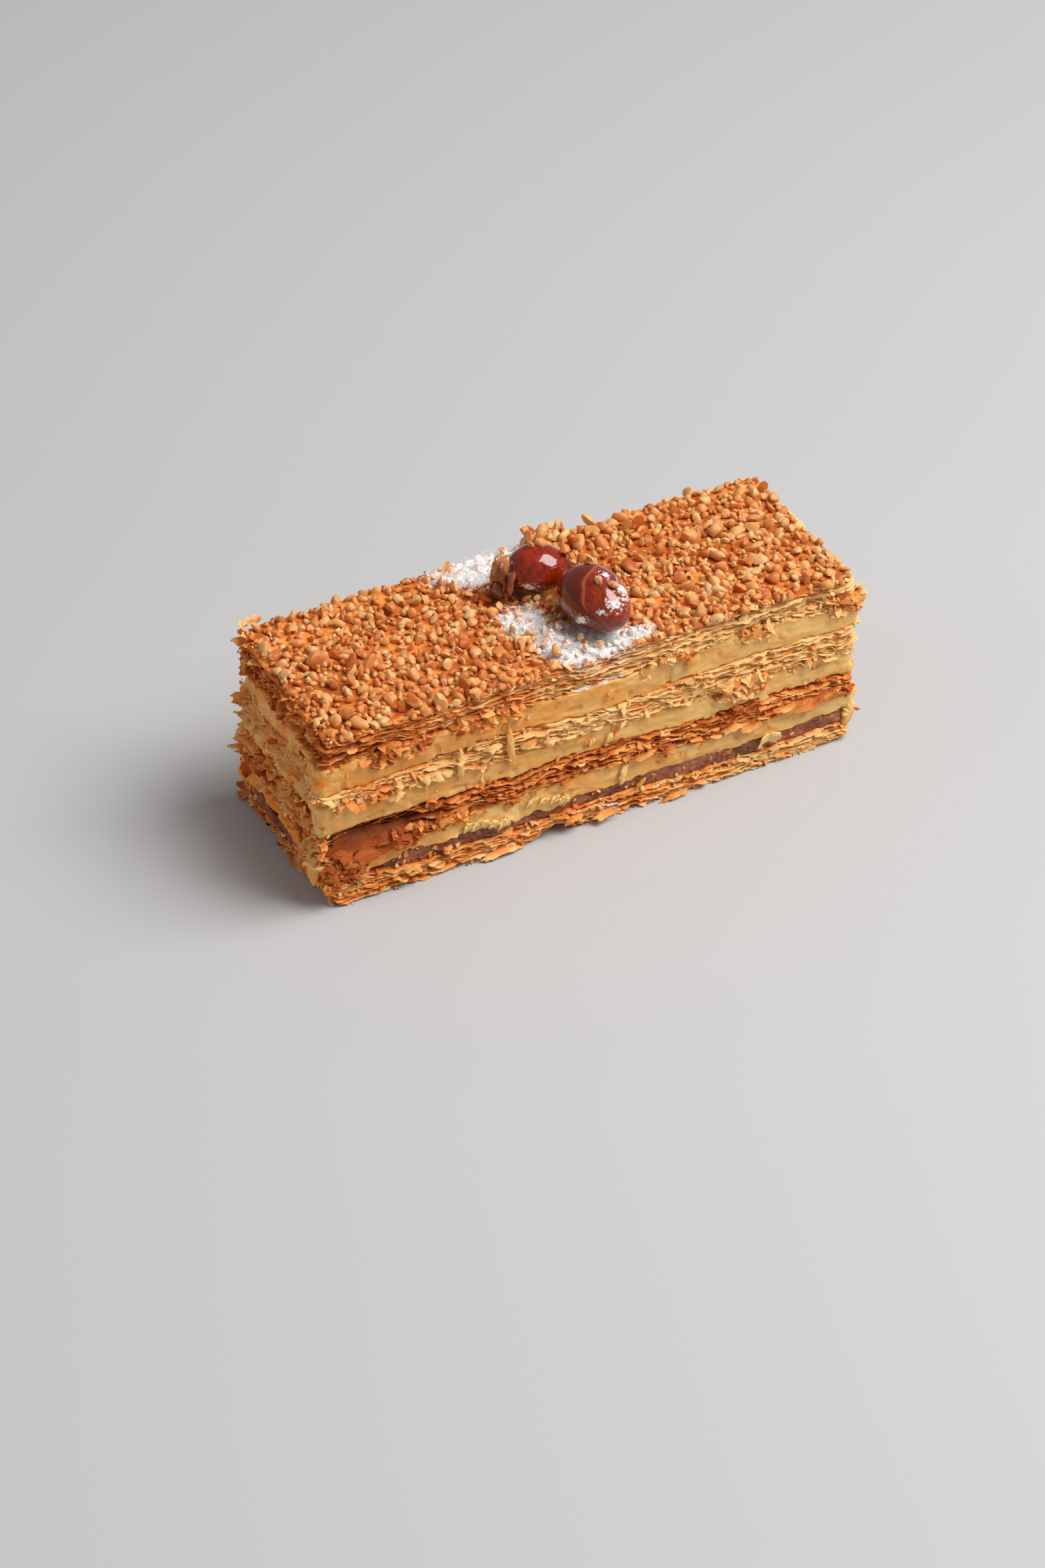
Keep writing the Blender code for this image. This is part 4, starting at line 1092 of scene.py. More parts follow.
class SLICE_OT_pastry(bpy.types.Operator):
    """Build the four baked sheets: cores, leaves, shards and crumbs"""

    bl_idname = "slice.pastry"
    bl_label = "Pastry sheets"

    def execute(self, context):
        settings = context.scene.slice_pastry
        for number, layer in enumerate(SHEETS):
            colours = (tuple(settings.pale), tuple(settings.golden), tuple(settings.brown))
            mat = pastry_material(layer + "_surface", *colours)
            slot = {"pastry_lower": "brown_pastry", "pastry_middle": "pale_pastry"}.get(layer, "baked_pastry")
            build_sheet(layer, settings, mat, slot, 100 * (number + 1))
        return {"FINISHED"}


def build_sheet(layer, settings, mat, slot, seed):
    """One sheet: its core, its leaves, and the shards and crumbs on its side."""
    inset = {"pastry_base": 1.1, "pastry_lower": 1.2, "pastry_middle": 0.7, "pastry_top": 0.9}[layer]
    points, faces, tone = sheet_core(layer, inset * MM, seed + 20)
    add_piece(layer + "_core", points, [faces], mat, slot, merge=1e-6, tone=tone, sugar=0.0 * tone)
    leaves = settings.leaves + {"pastry_base": -3, "pastry_lower": -1}.get(layer, 0)
    points, faces, tone = sheet_leaves(layer, leaves, settings.thickness, settings.ragged, seed)
    points = above_ground(points)
    sugar = side_sugar(points)
    replaces = layer if layer != "pastry_top" else None
    add_piece(layer + "_leaves", points, [faces], mat, slot, replaces=replaces, tone=tone, sugar=sugar)
    draw = np.random.default_rng(seed + 5)
    count = settings.shards
    spots, out, share = side_places(layer, count, draw, -0.04, 1.04, (-0.25, 0.7), 0.7)
    facing = np.concatenate((out, np.zeros((count, 1))), axis=1)
    upright = draw.uniform(size=count) < 0.5
    poking = draw.uniform(0.0, 1.3, count) * MM * np.where(upright, 0.0, np.abs(out[:, 0]))
    poking = poking * (0.3 if layer == "pastry_top" else 1.0)
    spots[:, :2] += poking[:, None] * out
    level = draw.normal(0.0, 0.20, (count, 3)) + (0.0, 0.0, 1.0)
    outwards = draw.normal(0.0, 0.24, (count, 3)) + facing + (0.0, 0.0, 0.25)
    facing = np.where(upright[:, None], outwards, level)
    sizes = draw.uniform(1.2, 3.8, count) * MM * np.where(upright, 0.72, 1.0)
    if layer == "pastry_top":
        sizes = sizes * (1.0 - 0.45 * np.abs(out[:, 0]))
    points, faces = shards(spots, facing, sizes, draw, 0.16 * MM, 0.16)
    each = points.shape[1]
    points = above_ground(points.reshape(-1, 3))
    tone = np.repeat(draw.normal(-0.05, 0.3, count), each) + browning_and_light(layer, points)
    add_piece(layer + "_shards", points, faces, mat, slot, smooth=False, tone=tone, sugar=side_sugar(points))
    count = settings.crumbs
    spots, out, share = side_places(layer, count, draw, -0.08, 1.08, (-0.3, 0.7), 0.7)
    sizes = 0.25 * MM + draw.exponential(0.28, count) * MM
    sizes = np.minimum(sizes, 1.5 * MM)
    points, faces, cut = chunks(spots, sizes, draw, (0.8, 0.5, 0.25), (1.6, 1.1, 0.6), planes=6, detail=1)
    each = points.shape[1]
    points = above_ground(points.reshape(-1, 3))
    tone = np.repeat(draw.normal(-0.05, 0.35, count), each) + browning_and_light(layer, points)
    add_piece(layer + "_crumbs", points, [faces], mat, slot, smooth=False, tone=tone, sugar=side_sugar(points))


def heap(name, box, count, sizes, tone, mat, slot, seed):
    """A heap of small broken leaves inside a box, in millimetres."""
    draw = np.random.default_rng(seed)
    low, high = (np.array(corner) * MM for corner in box)
    spots = draw.uniform(low, high, (count, 3))
    facing = draw.normal(0.0, 0.45, (count, 3)) + (-0.1, 0.6 * np.sign(low[1]), 0.8)
    points, faces = shards(spots, facing, draw.uniform(*sizes, count) * MM, draw, 0.2 * MM, 0.22, 9)
    each = points.shape[1]
    points = above_ground(points.reshape(-1, 3))
    tone = np.repeat(draw.normal(tone, 0.25, count), each)
    add_piece(name, points, faces, mat, slot, smooth=False, tone=tone, sugar=0.0 * tone)


def above_ground(points):
    """Lift what would sink into the surface that the slice rests on."""
    points = np.array(points)
    points[:, 2] = np.maximum(points[:, 2], 0.02 * MM)
    return points


def side_sugar(points):
    """Powdered sugar that fell past the front edge: spots below the patch on the top."""
    points = np.asarray(points)
    x, y, z = (points[..., axis] / MM for axis in range(3))
    front = ease((-y - 17.5) / 2.0)
    amount = np.zeros(len(points))
    for centre_x, centre_z, half_x, half_z, strength in (
        (-3.0, 33.0, 2.6, 1.0, 0.8), (3.5, 33.4, 3.2, 0.9, 0.7), (2.0, 37.5, 7.0, 2.2, 0.4),
        (2.6, 2.4, 2.2, 1.3, 0.8), (-5.5, 3.0, 2.0, 1.6, 0.35), (2.0, 26.0, 8.0, 3.0, 0.18),
    ):
        away = ((x - centre_x) / half_x) ** 2 + ((z - centre_z) / half_z) ** 2
        amount = np.maximum(amount, strength * np.exp(-away))
    return amount * front


class SLICE_OT_loose_leaves(bpy.types.Operator):
    """Build the loose leaves and the lumps of crumb on the sides"""

    bl_idname = "slice.loose_leaves"
    bl_label = "Loose leaves"

    def execute(self, context):
        settings = context.scene.slice_pastry
        mat = pastry_material("loose_leaf_surface", tuple(settings.pale), tuple(settings.golden),
                              tuple(settings.brown))
        points, faces, tone = flakes(LOOSE_LEAVES, 1200, 5, 0.26)
        points = above_ground(points)
        add_piece("loose_leaves", points, [faces], mat, "baked_pastry", merge=2e-6, tone=tone, sugar=0.0 * tone)
        heap("crumb_lump_right", ((51.5, -20.6, 31.6), (59.4, -18.6, 36.2)), 170, (1.0, 3.0), -0.12, mat,
             "baked_pastry", 1301)
        heap("crumbs_left_corner", ((-59.4, -20.9, 5.2), (-52.4, -19.8, 10.4)), 120, (1.0, 2.8), 0.55, mat,
             "brown_pastry", 1302)
        heap("crumbs_upper_left", ((-50.0, -20.3, 30.8), (-36.0, -19.8, 34.8)), 52, (1.4, 3.8), 0.2, mat,
             "baked_pastry", 1303)
        heap("crumbs_upper_middle", ((-32.0, -20.4, 31.8), (-17.0, -19.9, 35.0)), 60, (1.2, 3.4), 0.1, mat,
             "baked_pastry", 1304)
        heap("crumbs_upper_right", ((31.5, -20.5, 32.2), (38.5, -20.0, 35.4)), 40, (1.2, 3.0), -0.2, mat,
             "baked_pastry", 1305)
        heap("crumbs_upper_centre", ((13.5, -20.5, 33.2), (20.5, -20.0, 35.6)), 34, (1.2, 3.0), -0.1, mat,
             "baked_pastry", 1306)
        heap("hanging_flakes", ((27.0, -21.1, 18.9), (37.0, -20.5, 24.4)), 40, (2.0, 4.8), -0.3, mat,
             "pale_pastry", 1307)
        heap("crumbs_middle_left", ((-57.0, -20.5, 23.4), (-38.0, -20.0, 26.6)), 44, (1.8, 4.6), -0.1, mat,
             "pale_pastry", 1308)
        heap("crumbs_lower_left", ((-36.0, -20.6, 11.4), (-29.0, -20.1, 14.6)), 30, (1.4, 3.4), 0.3, mat,
             "brown_pastry", 1309)
        heap("crumbs_dark_leaf", ((-45.5, -21.2, 10.8), (-38.5, -20.5, 14.4)), 38, (1.4, 3.4), 0.6, mat,
             "brown_pastry", 1315)
        heap("crumbs_back_upper", ((18.0, 19.3, 30.8), (33.0, 19.9, 34.0)), 56, (1.2, 3.4), 0.1, mat,
             "baked_pastry", 1311)
        heap("crumbs_back_middle", ((-44.0, 19.3, 21.2), (-27.0, 20.0, 25.2)), 56, (1.6, 4.2), -0.2, mat,
             "pale_pastry", 1312)
        heap("crumbs_back_lower", ((-12.0, 19.4, 10.6), (1.0, 20.1, 14.4)), 44, (1.4, 3.6), 0.3, mat,
             "brown_pastry", 1313)
        heap("crumbs_right_end", ((58.0, -7.0, 22.2), (58.9, 5.0, 26.0)), 46, (1.4, 3.6), 0.1, mat,
             "baked_pastry", 1314)
        count = 700
        draw = np.random.default_rng(1310)
        spots, facing = [], []
        for layer in CREAMS + ("praline_paste",):
            place_at, out, share = side_places(layer, count // 4, draw, -0.02, 1.02, (-0.12, 0.2), 0.45)
            spots.append(place_at)
            facing.append(np.concatenate((out, np.zeros((len(out), 1))), axis=1))
        spots, facing = np.concatenate(spots), np.concatenate(facing)
        facing = facing + draw.normal(0.0, 0.22, facing.shape) + (0.0, 0.0, 0.15)
        sizes = draw.uniform(0.5, 2.1, len(spots)) * MM
        points, faces = shards(spots, facing, sizes, draw, 0.14 * MM, 0.2, 7)
        tone = np.repeat(draw.normal(-0.05, 0.25, len(spots)), points.shape[1])
        points = points.reshape(-1, 3)
        add_piece("stuck_flakes", points, faces, mat, "baked_pastry", smooth=False, tone=tone, sugar=side_sugar(points))
        return {"FINISHED"}


class SLICE_OT_filling(bpy.types.Operator):
    """Build the three layers of custard cream and the praline paste"""

    bl_idname = "slice.filling"
    bl_label = "Cream and paste"

    def execute(self, context):
        settings = context.scene.slice_filling
        colours = (tuple(settings.bright), tuple(settings.mid), tuple(settings.stained_and_shaded))
        for number, layer in enumerate(CREAMS):
            mat = cream_material(layer + "_surface", *colours)
            points, faces, tone = filling_body(layer, settings.recess, 700 + 50 * number)
            add_piece(layer + "_body", points, [faces], mat, "custard_cream", replaces=layer, merge=1e-6, tone=tone)
        mat = cream_material("cream_strip_surface", *colours)
        points, faces, tone = flakes(CREAM_STRIPS, 1500, 0, 0.28)
        add_piece("cream_strips", points, [faces], mat, "custard_cream", merge=2e-6, tone=tone)
        paste = tuple(settings.paste)
        mat = paste_material(paste, srgb(98, 46, 32), srgb(196, 124, 84))
        points, faces, tone = filling_body("praline_paste", 0.2 * MM, 900, grainy=1.0)
        add_piece("praline_paste_body", points, [faces], mat, "praline_paste", replaces="praline_paste",
                  merge=1e-6, tone=tone)
        points, faces, tone = flakes(PASTE_STRIPS, 1700, 0, 0.5)
        add_piece("paste_strips", points, [faces], mat, "praline_paste", merge=2e-6, tone=tone)
        return {"FINISHED"}


def filling_body(layer, recess, seed, grainy=0.0, step=0.28 * MM, rows=20):
    """A layer of filling as one closed body.

    Rings run from the middle line out along the lower face, up the side and back. The side is a
    knife cut: slow swells, level streaks and fine grain move it, stronger at the ends, small pits
    pull it in, and both its edges roll under the leaves.
    """
    places, outward = outline(layer, step)
    middle = middle_line(layer, places)
    inner = places - 1.0 * MM * outward
    low = face_z(layer, False, inner[:, 0], inner[:, 1]) - 0.4 * MM
    high = face_z(layer, True, inner[:, 0], inner[:, 1]) + 0.4 * MM
    ends = 1.0 + 1.6 * np.abs(outward[:, 0])
    torn = torn_edge(layer, places)
    columns = []
    for share in (0.0, 0.5, 0.93):
        xy = middle + (places - middle) * share
        z = height_at(layer, False, xy[:, 0], xy[:, 1])
        columns.append(np.concatenate((xy, z[:, None]), axis=1))
    for rise in np.linspace(0.0, 1.0, rows):
        teeth = torn * (1.0 - rise) ** 2
        z = low + (high - low) * rise - teeth * MM * (0.25 + 0.9 * field(inner_spots(places), 2.3 * MM, seed + 8))
        here = np.concatenate((places, z[:, None]), axis=1)
        out = -recess + 0.32 * MM * ends * field(here, (7 * MM, 7 * MM, 5 * MM), seed + 2)
        out = out + 0.2 * MM * ends * fractal(here, (2.6 * MM, 2.6 * MM, 1.2 * MM), seed + 3)
        out = out + (0.05 * ends**1.5 + 0.14 * grainy) * MM * fractal(here, 0.8 * MM, seed + 4)
        out = out - hollow_at(places[:, 0], places[:, 1], z)
        out = out + 0.55 * MM * teeth + FLARE.get(layer, 0.0) * MM * np.abs(outward[:, 0]) * (1.0 - rise)
        pits = ease((field(here, 2.2 * MM, seed + 5) - 0.5) / 0.2)
        out = out - 0.4 * MM * pits
        edge = min(rise, 1.0 - rise)
        out = out - 0.35 * MM * (1.0 - ease(edge / 0.06))
        xy = places + outward * out[:, None]
        columns.append(np.concatenate((xy, z[:, None]), axis=1))
    for share in (0.93, 0.5, 0.0):
        xy = middle + (places - middle) * share
        z = height_at(layer, True, xy[:, 0], xy[:, 1])
        columns.append(np.concatenate((xy, z[:, None]), axis=1))
    points = np.stack(columns, axis=1)
    tone = 0.35 * fractal(points * (1, 1, 2), 5 * MM, seed + 6) - 0.8 * torn[:, None]
    stain = np.linspace(-1.0, 1.0, points.shape[1])[None, :] ** 4
    tone = tone + stain * (0.35 + 0.4 * field(points, 6 * MM, seed + 7)) + browning_and_light(layer, points)
    crumbly = np.maximum(field(points, 3.2 * MM, seed + 9) - 0.15, 0.0) * ease((np.abs(points[..., 0]) / MM - 55) / 3)
    # Painted shade: the cream is painted darker in the hollows, the more the deeper they are.
    tone = tone + 1.6 * crumbly + 300.0 * hollow_at(points[..., 0], points[..., 1], points[..., 2])
    return points.reshape(-1, 3), tube_faces(len(places), points.shape[1], closed=False), tone


def inner_spots(places):
    """Places in the plane as points at height nought."""
    return np.concatenate((places, np.zeros((len(places), 1))), axis=1)


def torn_edge(layer, places):
    """Where the lower cream's lower edge is torn into bright teeth: a stretch of the front side."""
    if layer != "cream_lower":
        return np.zeros(len(places))
    x, y = places[:, 0] / MM, places[:, 1] / MM
    return ease((x + 36) / 4) * ease((-5 - x) / 4) * ease((-y - 18.5) / 1.5)


class SLICE_OT_topping(bpy.types.Operator):
    """Build the caramelised top with its chopped nuts"""

    bl_idname = "slice.topping"
    bl_label = "Nut topping"

    def execute(self, context):
        settings = context.scene.slice_topping
        pastry = context.scene.slice_pastry
        mat = pastry_material(
            "caramelised_top", tuple(pastry.golden), tuple(settings.caramel), tuple(pastry.brown))
        points, faces, tone = top_surface(0.45 * MM)
        add_piece("top_crust", points, [faces], mat, "nut_topping", replaces="pastry_top", merge=1e-6,
                  tone=tone, sugar=sugar_at(points))
        colours = (tuple(settings.flesh), tuple(settings.roasted), tuple(settings.dark))
        kinds = (("nut_bits_pale", -0.5, 0.30), ("nut_bits_golden", 0.0, 0.48), ("nut_bits_dark", 0.6, 0.22))
        places, sizes = bit_places(settings.spacing, settings.bit_size)
        draw = np.random.default_rng(77)
        order = draw.permutation(len(places))
        first = 0
        for name, shift, share in kinds:
            last = first + int(round(share * len(places)))
            pick = order[first:last] if name != kinds[-1][0] else order[first:]
            first = last
            mat = nut_bit_material(name + "_surface", *colours, tuple(settings.sugar))
            points, faces, cut = chunks(places[pick], sizes[pick], draw, (0.9, 0.7, 0.5), (1.45, 1.1, 0.9), 7, 2, 24.0)
            tone = shift + draw.normal(0.0, 0.35, len(pick)) + 2.2 * dark_patch_by_chip(places[pick])
            tone = np.repeat(tone, points.shape[1])
            sugar = topping_sugar(points.reshape(-1, 3))
            piece = add_piece(name, points, [faces], mat, "nut_topping", tone=tone, cut=cut, sugar=sugar)
            piece.data.set_sharp_from_angle(angle=np.radians(48.0))
        return {"FINISHED"}


def dark_patch_by_chip(points):
    """How much the top is darkened beside the chip: a soft ellipse to its left."""
    x, y = points[..., 0] / MM, points[..., 1] / MM
    return np.exp(-(((x + 10.9) / 2.6) ** 2 + ((y - 6.0) / 3.4) ** 2))


def topping_sugar(points):
    """Sugar on the bits: less on the tops of the large ones, which stand out of the drifts."""
    rise = (points[:, 2] - height_at("pastry_top", True, points[:, 0], points[:, 1])) / MM
    return sugar_at(points) * np.clip(1.25 - 0.3 * rise, 0.25, 1.1)


def top_surface(overhang, step=0.7 * MM):
    """The baked top leaf: rings from the middle line out, over a ragged rim and back under."""
    layer = "pastry_top"
    places, outward = outline(layer, step)
    middle = middle_line(layer, places)
    spots = np.concatenate((places, np.zeros((len(places), 1))), axis=1)
    reach = overhang * (0.4 + fractal(spots, 4 * MM, 61)) + 0.25 * MM * fractal(spots, 1.3 * MM, 62)
    columns = []
    for share in (0.0, 0.12, 0.24, 0.36, 0.48, 0.58, 0.68, 0.77, 0.85, 0.92, 0.97, 1.0):
        edge = places + outward * reach[:, None]
        xy = middle + (edge - middle) * share
        z = height_at(layer, True, xy[:, 0], xy[:, 1])
        here = np.concatenate((xy, 0.0 * z[:, None]), axis=1)
        z = z + 0.25 * MM * fractal(here, 3.0 * MM, 63) - 0.25 * MM * share**12
        columns.append(np.concatenate((xy, z[:, None]), axis=1))
    drop = 0.55 * MM + 0.2 * MM * fractal(spots, 2.0 * MM, 64)
    for share in (1.0, 0.93, 0.8, 0.4, 0.0):
        edge = places + outward * (reach - 0.05 * MM)[:, None]
        xy = middle + (edge - middle) * share
        z = height_at(layer, True, xy[:, 0], xy[:, 1]) - drop
        columns.append(np.concatenate((xy, z[:, None]), axis=1))
    points = np.stack(columns[::-1], axis=1)
    flat = points.reshape(-1, 3)
    tone = 0.5 * fractal(flat, 6 * MM, 65) + 2.4 * dark_patch_by_chip(flat)
    return flat, tube_faces(len(places), points.shape[1], closed=False), tone


# Bits that the photo shows on the nuts and in the sugar: centre and size, in millimetres.
SET_BITS = (
    (-0.6, -0.9, 41.4, 1.5), (-1.8, -2.3, 41.3, 1.3), (0.9, -2.6, 41.3, 1.2), (-2.6, 0.4, 41.5, 1.6),
    (-3.7, -1.3, 41.3, 1.2), (-1.2, -3.9, 41.2, 1.4), (-4.4, 1.2, 41.6, 1.5), (-5.2, -0.6, 41.3, 1.3),
    (3.7, -13.0, 52.4, 2.4), (6.0, -15.0, 51.7, 1.7), (0.9, 5.6, 50.4, 2.4), (4.9, 3.2, 48.8, 2.6),
    (5.1, -6.3, 51.8, 1.5), (-1.2, 6.0, 50.2, 2.0), (-1.0, 18.2, 41.3, 2.2), (9.4, 18.2, 41.3, 2.8),
    (-4.4, -15.4, 41.4, 1.8), (-1.5, -17.6, 41.2, 1.6), (1.2, -18.2, 41.2, 1.9), (4.6, -18.6, 41.0, 1.5),
    (-5.6, -11.0, 41.5, 2.0), (-3.0, -9.2, 41.6, 1.7), (8.6, -17.2, 41.2, 1.8), (-6.8, -16.4, 41.4, 2.6),
    (-7.6, -13.0, 41.2, 2.2), (-1.0, -14.8, 41.6, 1.4),
)


def solid_bumps(grid=0.6 * MM):
    """The solid's large chopped nuts: high places on its top, found by rays on a fine grid.

    A place counts where it is the highest within two grid steps and stands a millimetre proud.
    """
    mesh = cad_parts["pastry_top"].data
    mesh.calc_loop_triangles()
    tree = BVHTree.FromPolygons(
        [vert.co for vert in mesh.vertices], [tuple(face.vertices) for face in mesh.loop_triangles])
    x = np.arange(-57.5, 57.5, grid / MM) * MM
    y = np.arange(-20.5, 20.5, grid / MM) * MM
    rise = np.zeros((len(x), len(y)))
    for i, j in np.ndindex(rise.shape):
        hit = tree.ray_cast(Vector((x[i], y[j], 0.1)), Vector((0, 0, -1)))[0]
        rise[i, j] = hit.z if hit is not None else 0.0
    across, along = np.meshgrid(y, x)
    base = height_at("pastry_top", True, along, across)
    rise = rise - base
    padded = np.pad(rise, 2)
    shifts = [padded[i:i + len(x), j:j + len(y)] for i in range(5) for j in range(5)]
    peak = (rise >= np.max(shifts, axis=0)) & (rise > 1.0 * MM)
    size = np.clip(rise[peak] / 0.72, 2.6 * MM, 4.2 * MM)
    spots = np.stack((along[peak], across[peak], base[peak] + 0.24 * size), axis=-1)
    return spots, size


def bit_places(spacing, size):
    """Where the chopped nuts lie and how large they are.

    The large ones are the solid's. The others stand on a hexagonal grid, each moved by a random
    part of the spacing, with some left out and some lying on the others. Sizes are log-normal.
    """
    draw = np.random.default_rng(70)
    large, large_sizes = solid_bumps()
    left, right, front, back = (value * MM for value in REACH["pastry_top"])
    rows = int((back - front) / (spacing * 0.87)) + 1
    columns = int((right - left) / spacing) + 1
    row, column = (index.ravel() for index in np.mgrid[0:rows, 0:columns])
    x = left + spacing * (column + 0.5 * (row % 2))
    y = front + spacing * 0.87 * row
    x = x + draw.normal(0.0, 0.30, len(x)) * spacing
    y = y + draw.normal(0.0, 0.30, len(y)) * spacing
    kept = draw.uniform(size=len(x)) > 0.10
    x, y = x[kept], y[kept]
    sizes = size * np.exp(draw.normal(-0.10, 0.30, len(x)))
    lift = np.full(len(x), 0.22)
    extra = 420
    more_x = draw.uniform(left + 1 * MM, right - 1 * MM, extra)
    more_y = draw.uniform(front + 1 * MM, back - 1 * MM, extra)
    more_sizes = size * np.exp(draw.normal(-0.12, 0.32, extra))
    x, y = np.concatenate((x, more_x)), np.concatenate((y, more_y))
    sizes = np.concatenate((sizes, more_sizes))
    lift = np.concatenate((lift, draw.uniform(0.35, 0.6, extra)))
    inside = (np.abs(x) < right + 0.3 * MM) & (np.abs(y) < back + 0.3 * MM)
    spots = np.stack((x, y, height_at("pastry_top", True, x, y) + lift * sizes), axis=-1)
    gap = np.linalg.norm(spots[:, None, :2] - large[None, :, :2], axis=-1) - 0.42 * large_sizes[None]
    inside &= gap.min(axis=1) > 0.15 * sizes
    inside &= ~under_nuts(spots)
    spots = np.concatenate((large, spots[inside]))
    keep = np.where(draw.uniform(size=len(large)) < 0.3, 0.75, 0.55)
    sizes = np.concatenate((keep * large_sizes, sizes[inside]))
    sizes = np.where(sugar_at(spots) > 0.3, np.minimum(sizes, 1.9 * MM), sizes)
    heap_spots = draw.uniform((4.5, 12.5, 41.2), (12.5, 20.0, 43.4), (44, 3)) * MM
    heap_sizes = draw.uniform(1.5, 2.7, 44) * MM
    set_spots = np.array(SET_BITS)[:, :3] * MM
    spots = np.concatenate((spots, heap_spots, set_spots))
    return spots, np.concatenate((sizes, heap_sizes, np.array(SET_BITS)[:, 3] * MM))


def under_nuts(spots):
    """Whether a bit would lie under a glazed nut or the caramel chip."""
    covered = np.zeros(len(spots), bool)
    for name, turn in NUT_TURNS.items():
        low, high, centre, half = nut_frame(name)
        away = spots[:, :2] - centre[:2]
        angle = np.radians(turn)
        along = away[:, 0] * np.cos(angle) + away[:, 1] * np.sin(angle)
        across = away[:, 1] * np.cos(angle) - away[:, 0] * np.sin(angle)
        covered |= (along / half[0]) ** 2 + (across / half[1]) ** 2 < 0.62
    low, high = (np.array(corner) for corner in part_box("caramel_chip"))
    middle = 0.5 * (low + high)
    covered |= np.hypot(spots[:, 0] - middle[0], spots[:, 1] - middle[1]) < 1.6 * MM
    return covered


# Right, up and near as the photo's camera sees them, from which the nuts' marks are placed.
VIEW_WAYS = ((0.886, -0.464, 0.0), (0.291, 0.555, 0.779), (-0.362, -0.690, 0.626))

# Sugar on the nuts, seen from the camera: centre to the right and up, half sizes and strength.
NUT_DUST = {
    "glazed_nut_front": (
        (0.62, 0.28, 0.26, 0.42, 0.52), (0.34, 0.0, 0.22, 0.30, 0.42), (-0.55, -0.62, 0.22, 0.16, 0.58),
        (0.02, -0.30, 0.14, 0.12, 0.40), (0.25, 0.72, 0.25, 0.12, 0.45)),
    "glazed_nut_back": ((-0.25, -0.78, 0.35, 0.16, 0.6), (-0.88, 0.15, 0.12, 0.4, 0.3)),
}

# Glazed nuts: turn of the long axis about Z, in degrees, and the half sizes in millimetres.
NUT_TURNS = {"glazed_nut_front": -82.0, "glazed_nut_back": -22.0}
NUT_HALVES = {"glazed_nut_front": (8.9, 6.3, 6.2), "glazed_nut_back": (6.5, 5.1, 4.9)}


def nut_frame(name):
    """A glazed nut's box, centre and half sizes along its own axes."""
    low, high = (np.array(corner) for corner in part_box(name))
    return low, high, 0.5 * (low + high), np.array(NUT_HALVES[name]) * MM


class SLICE_OT_glazed_nuts(bpy.types.Operator):
    """Build the two nuts in boiled sugar"""

    bl_idname = "slice.glazed_nuts"
    bl_label = "Glazed nuts"

    def execute(self, context):
        sugar = tuple(context.scene.slice_topping.sugar)
        looks = {
            "glazed_nut_front": (srgb(154, 50, 12), srgb(106, 26, 5), srgb(104, 28, 10)),
            "glazed_nut_back": (srgb(154, 42, 8), srgb(110, 24, 3), srgb(76, 16, 8)),
        }
        for number, (name, colours) in enumerate(looks.items()):
            mat = glaze_material(name + "_surface", *colours, sugar)
            points, faces, marks = glazed_nut(name, 300 + 20 * number)
            add_piece(name + "_body", points, [faces], mat, "glazed_nut", replaces=name, merge=2e-6, **marks)
        return {"FINISHED"}


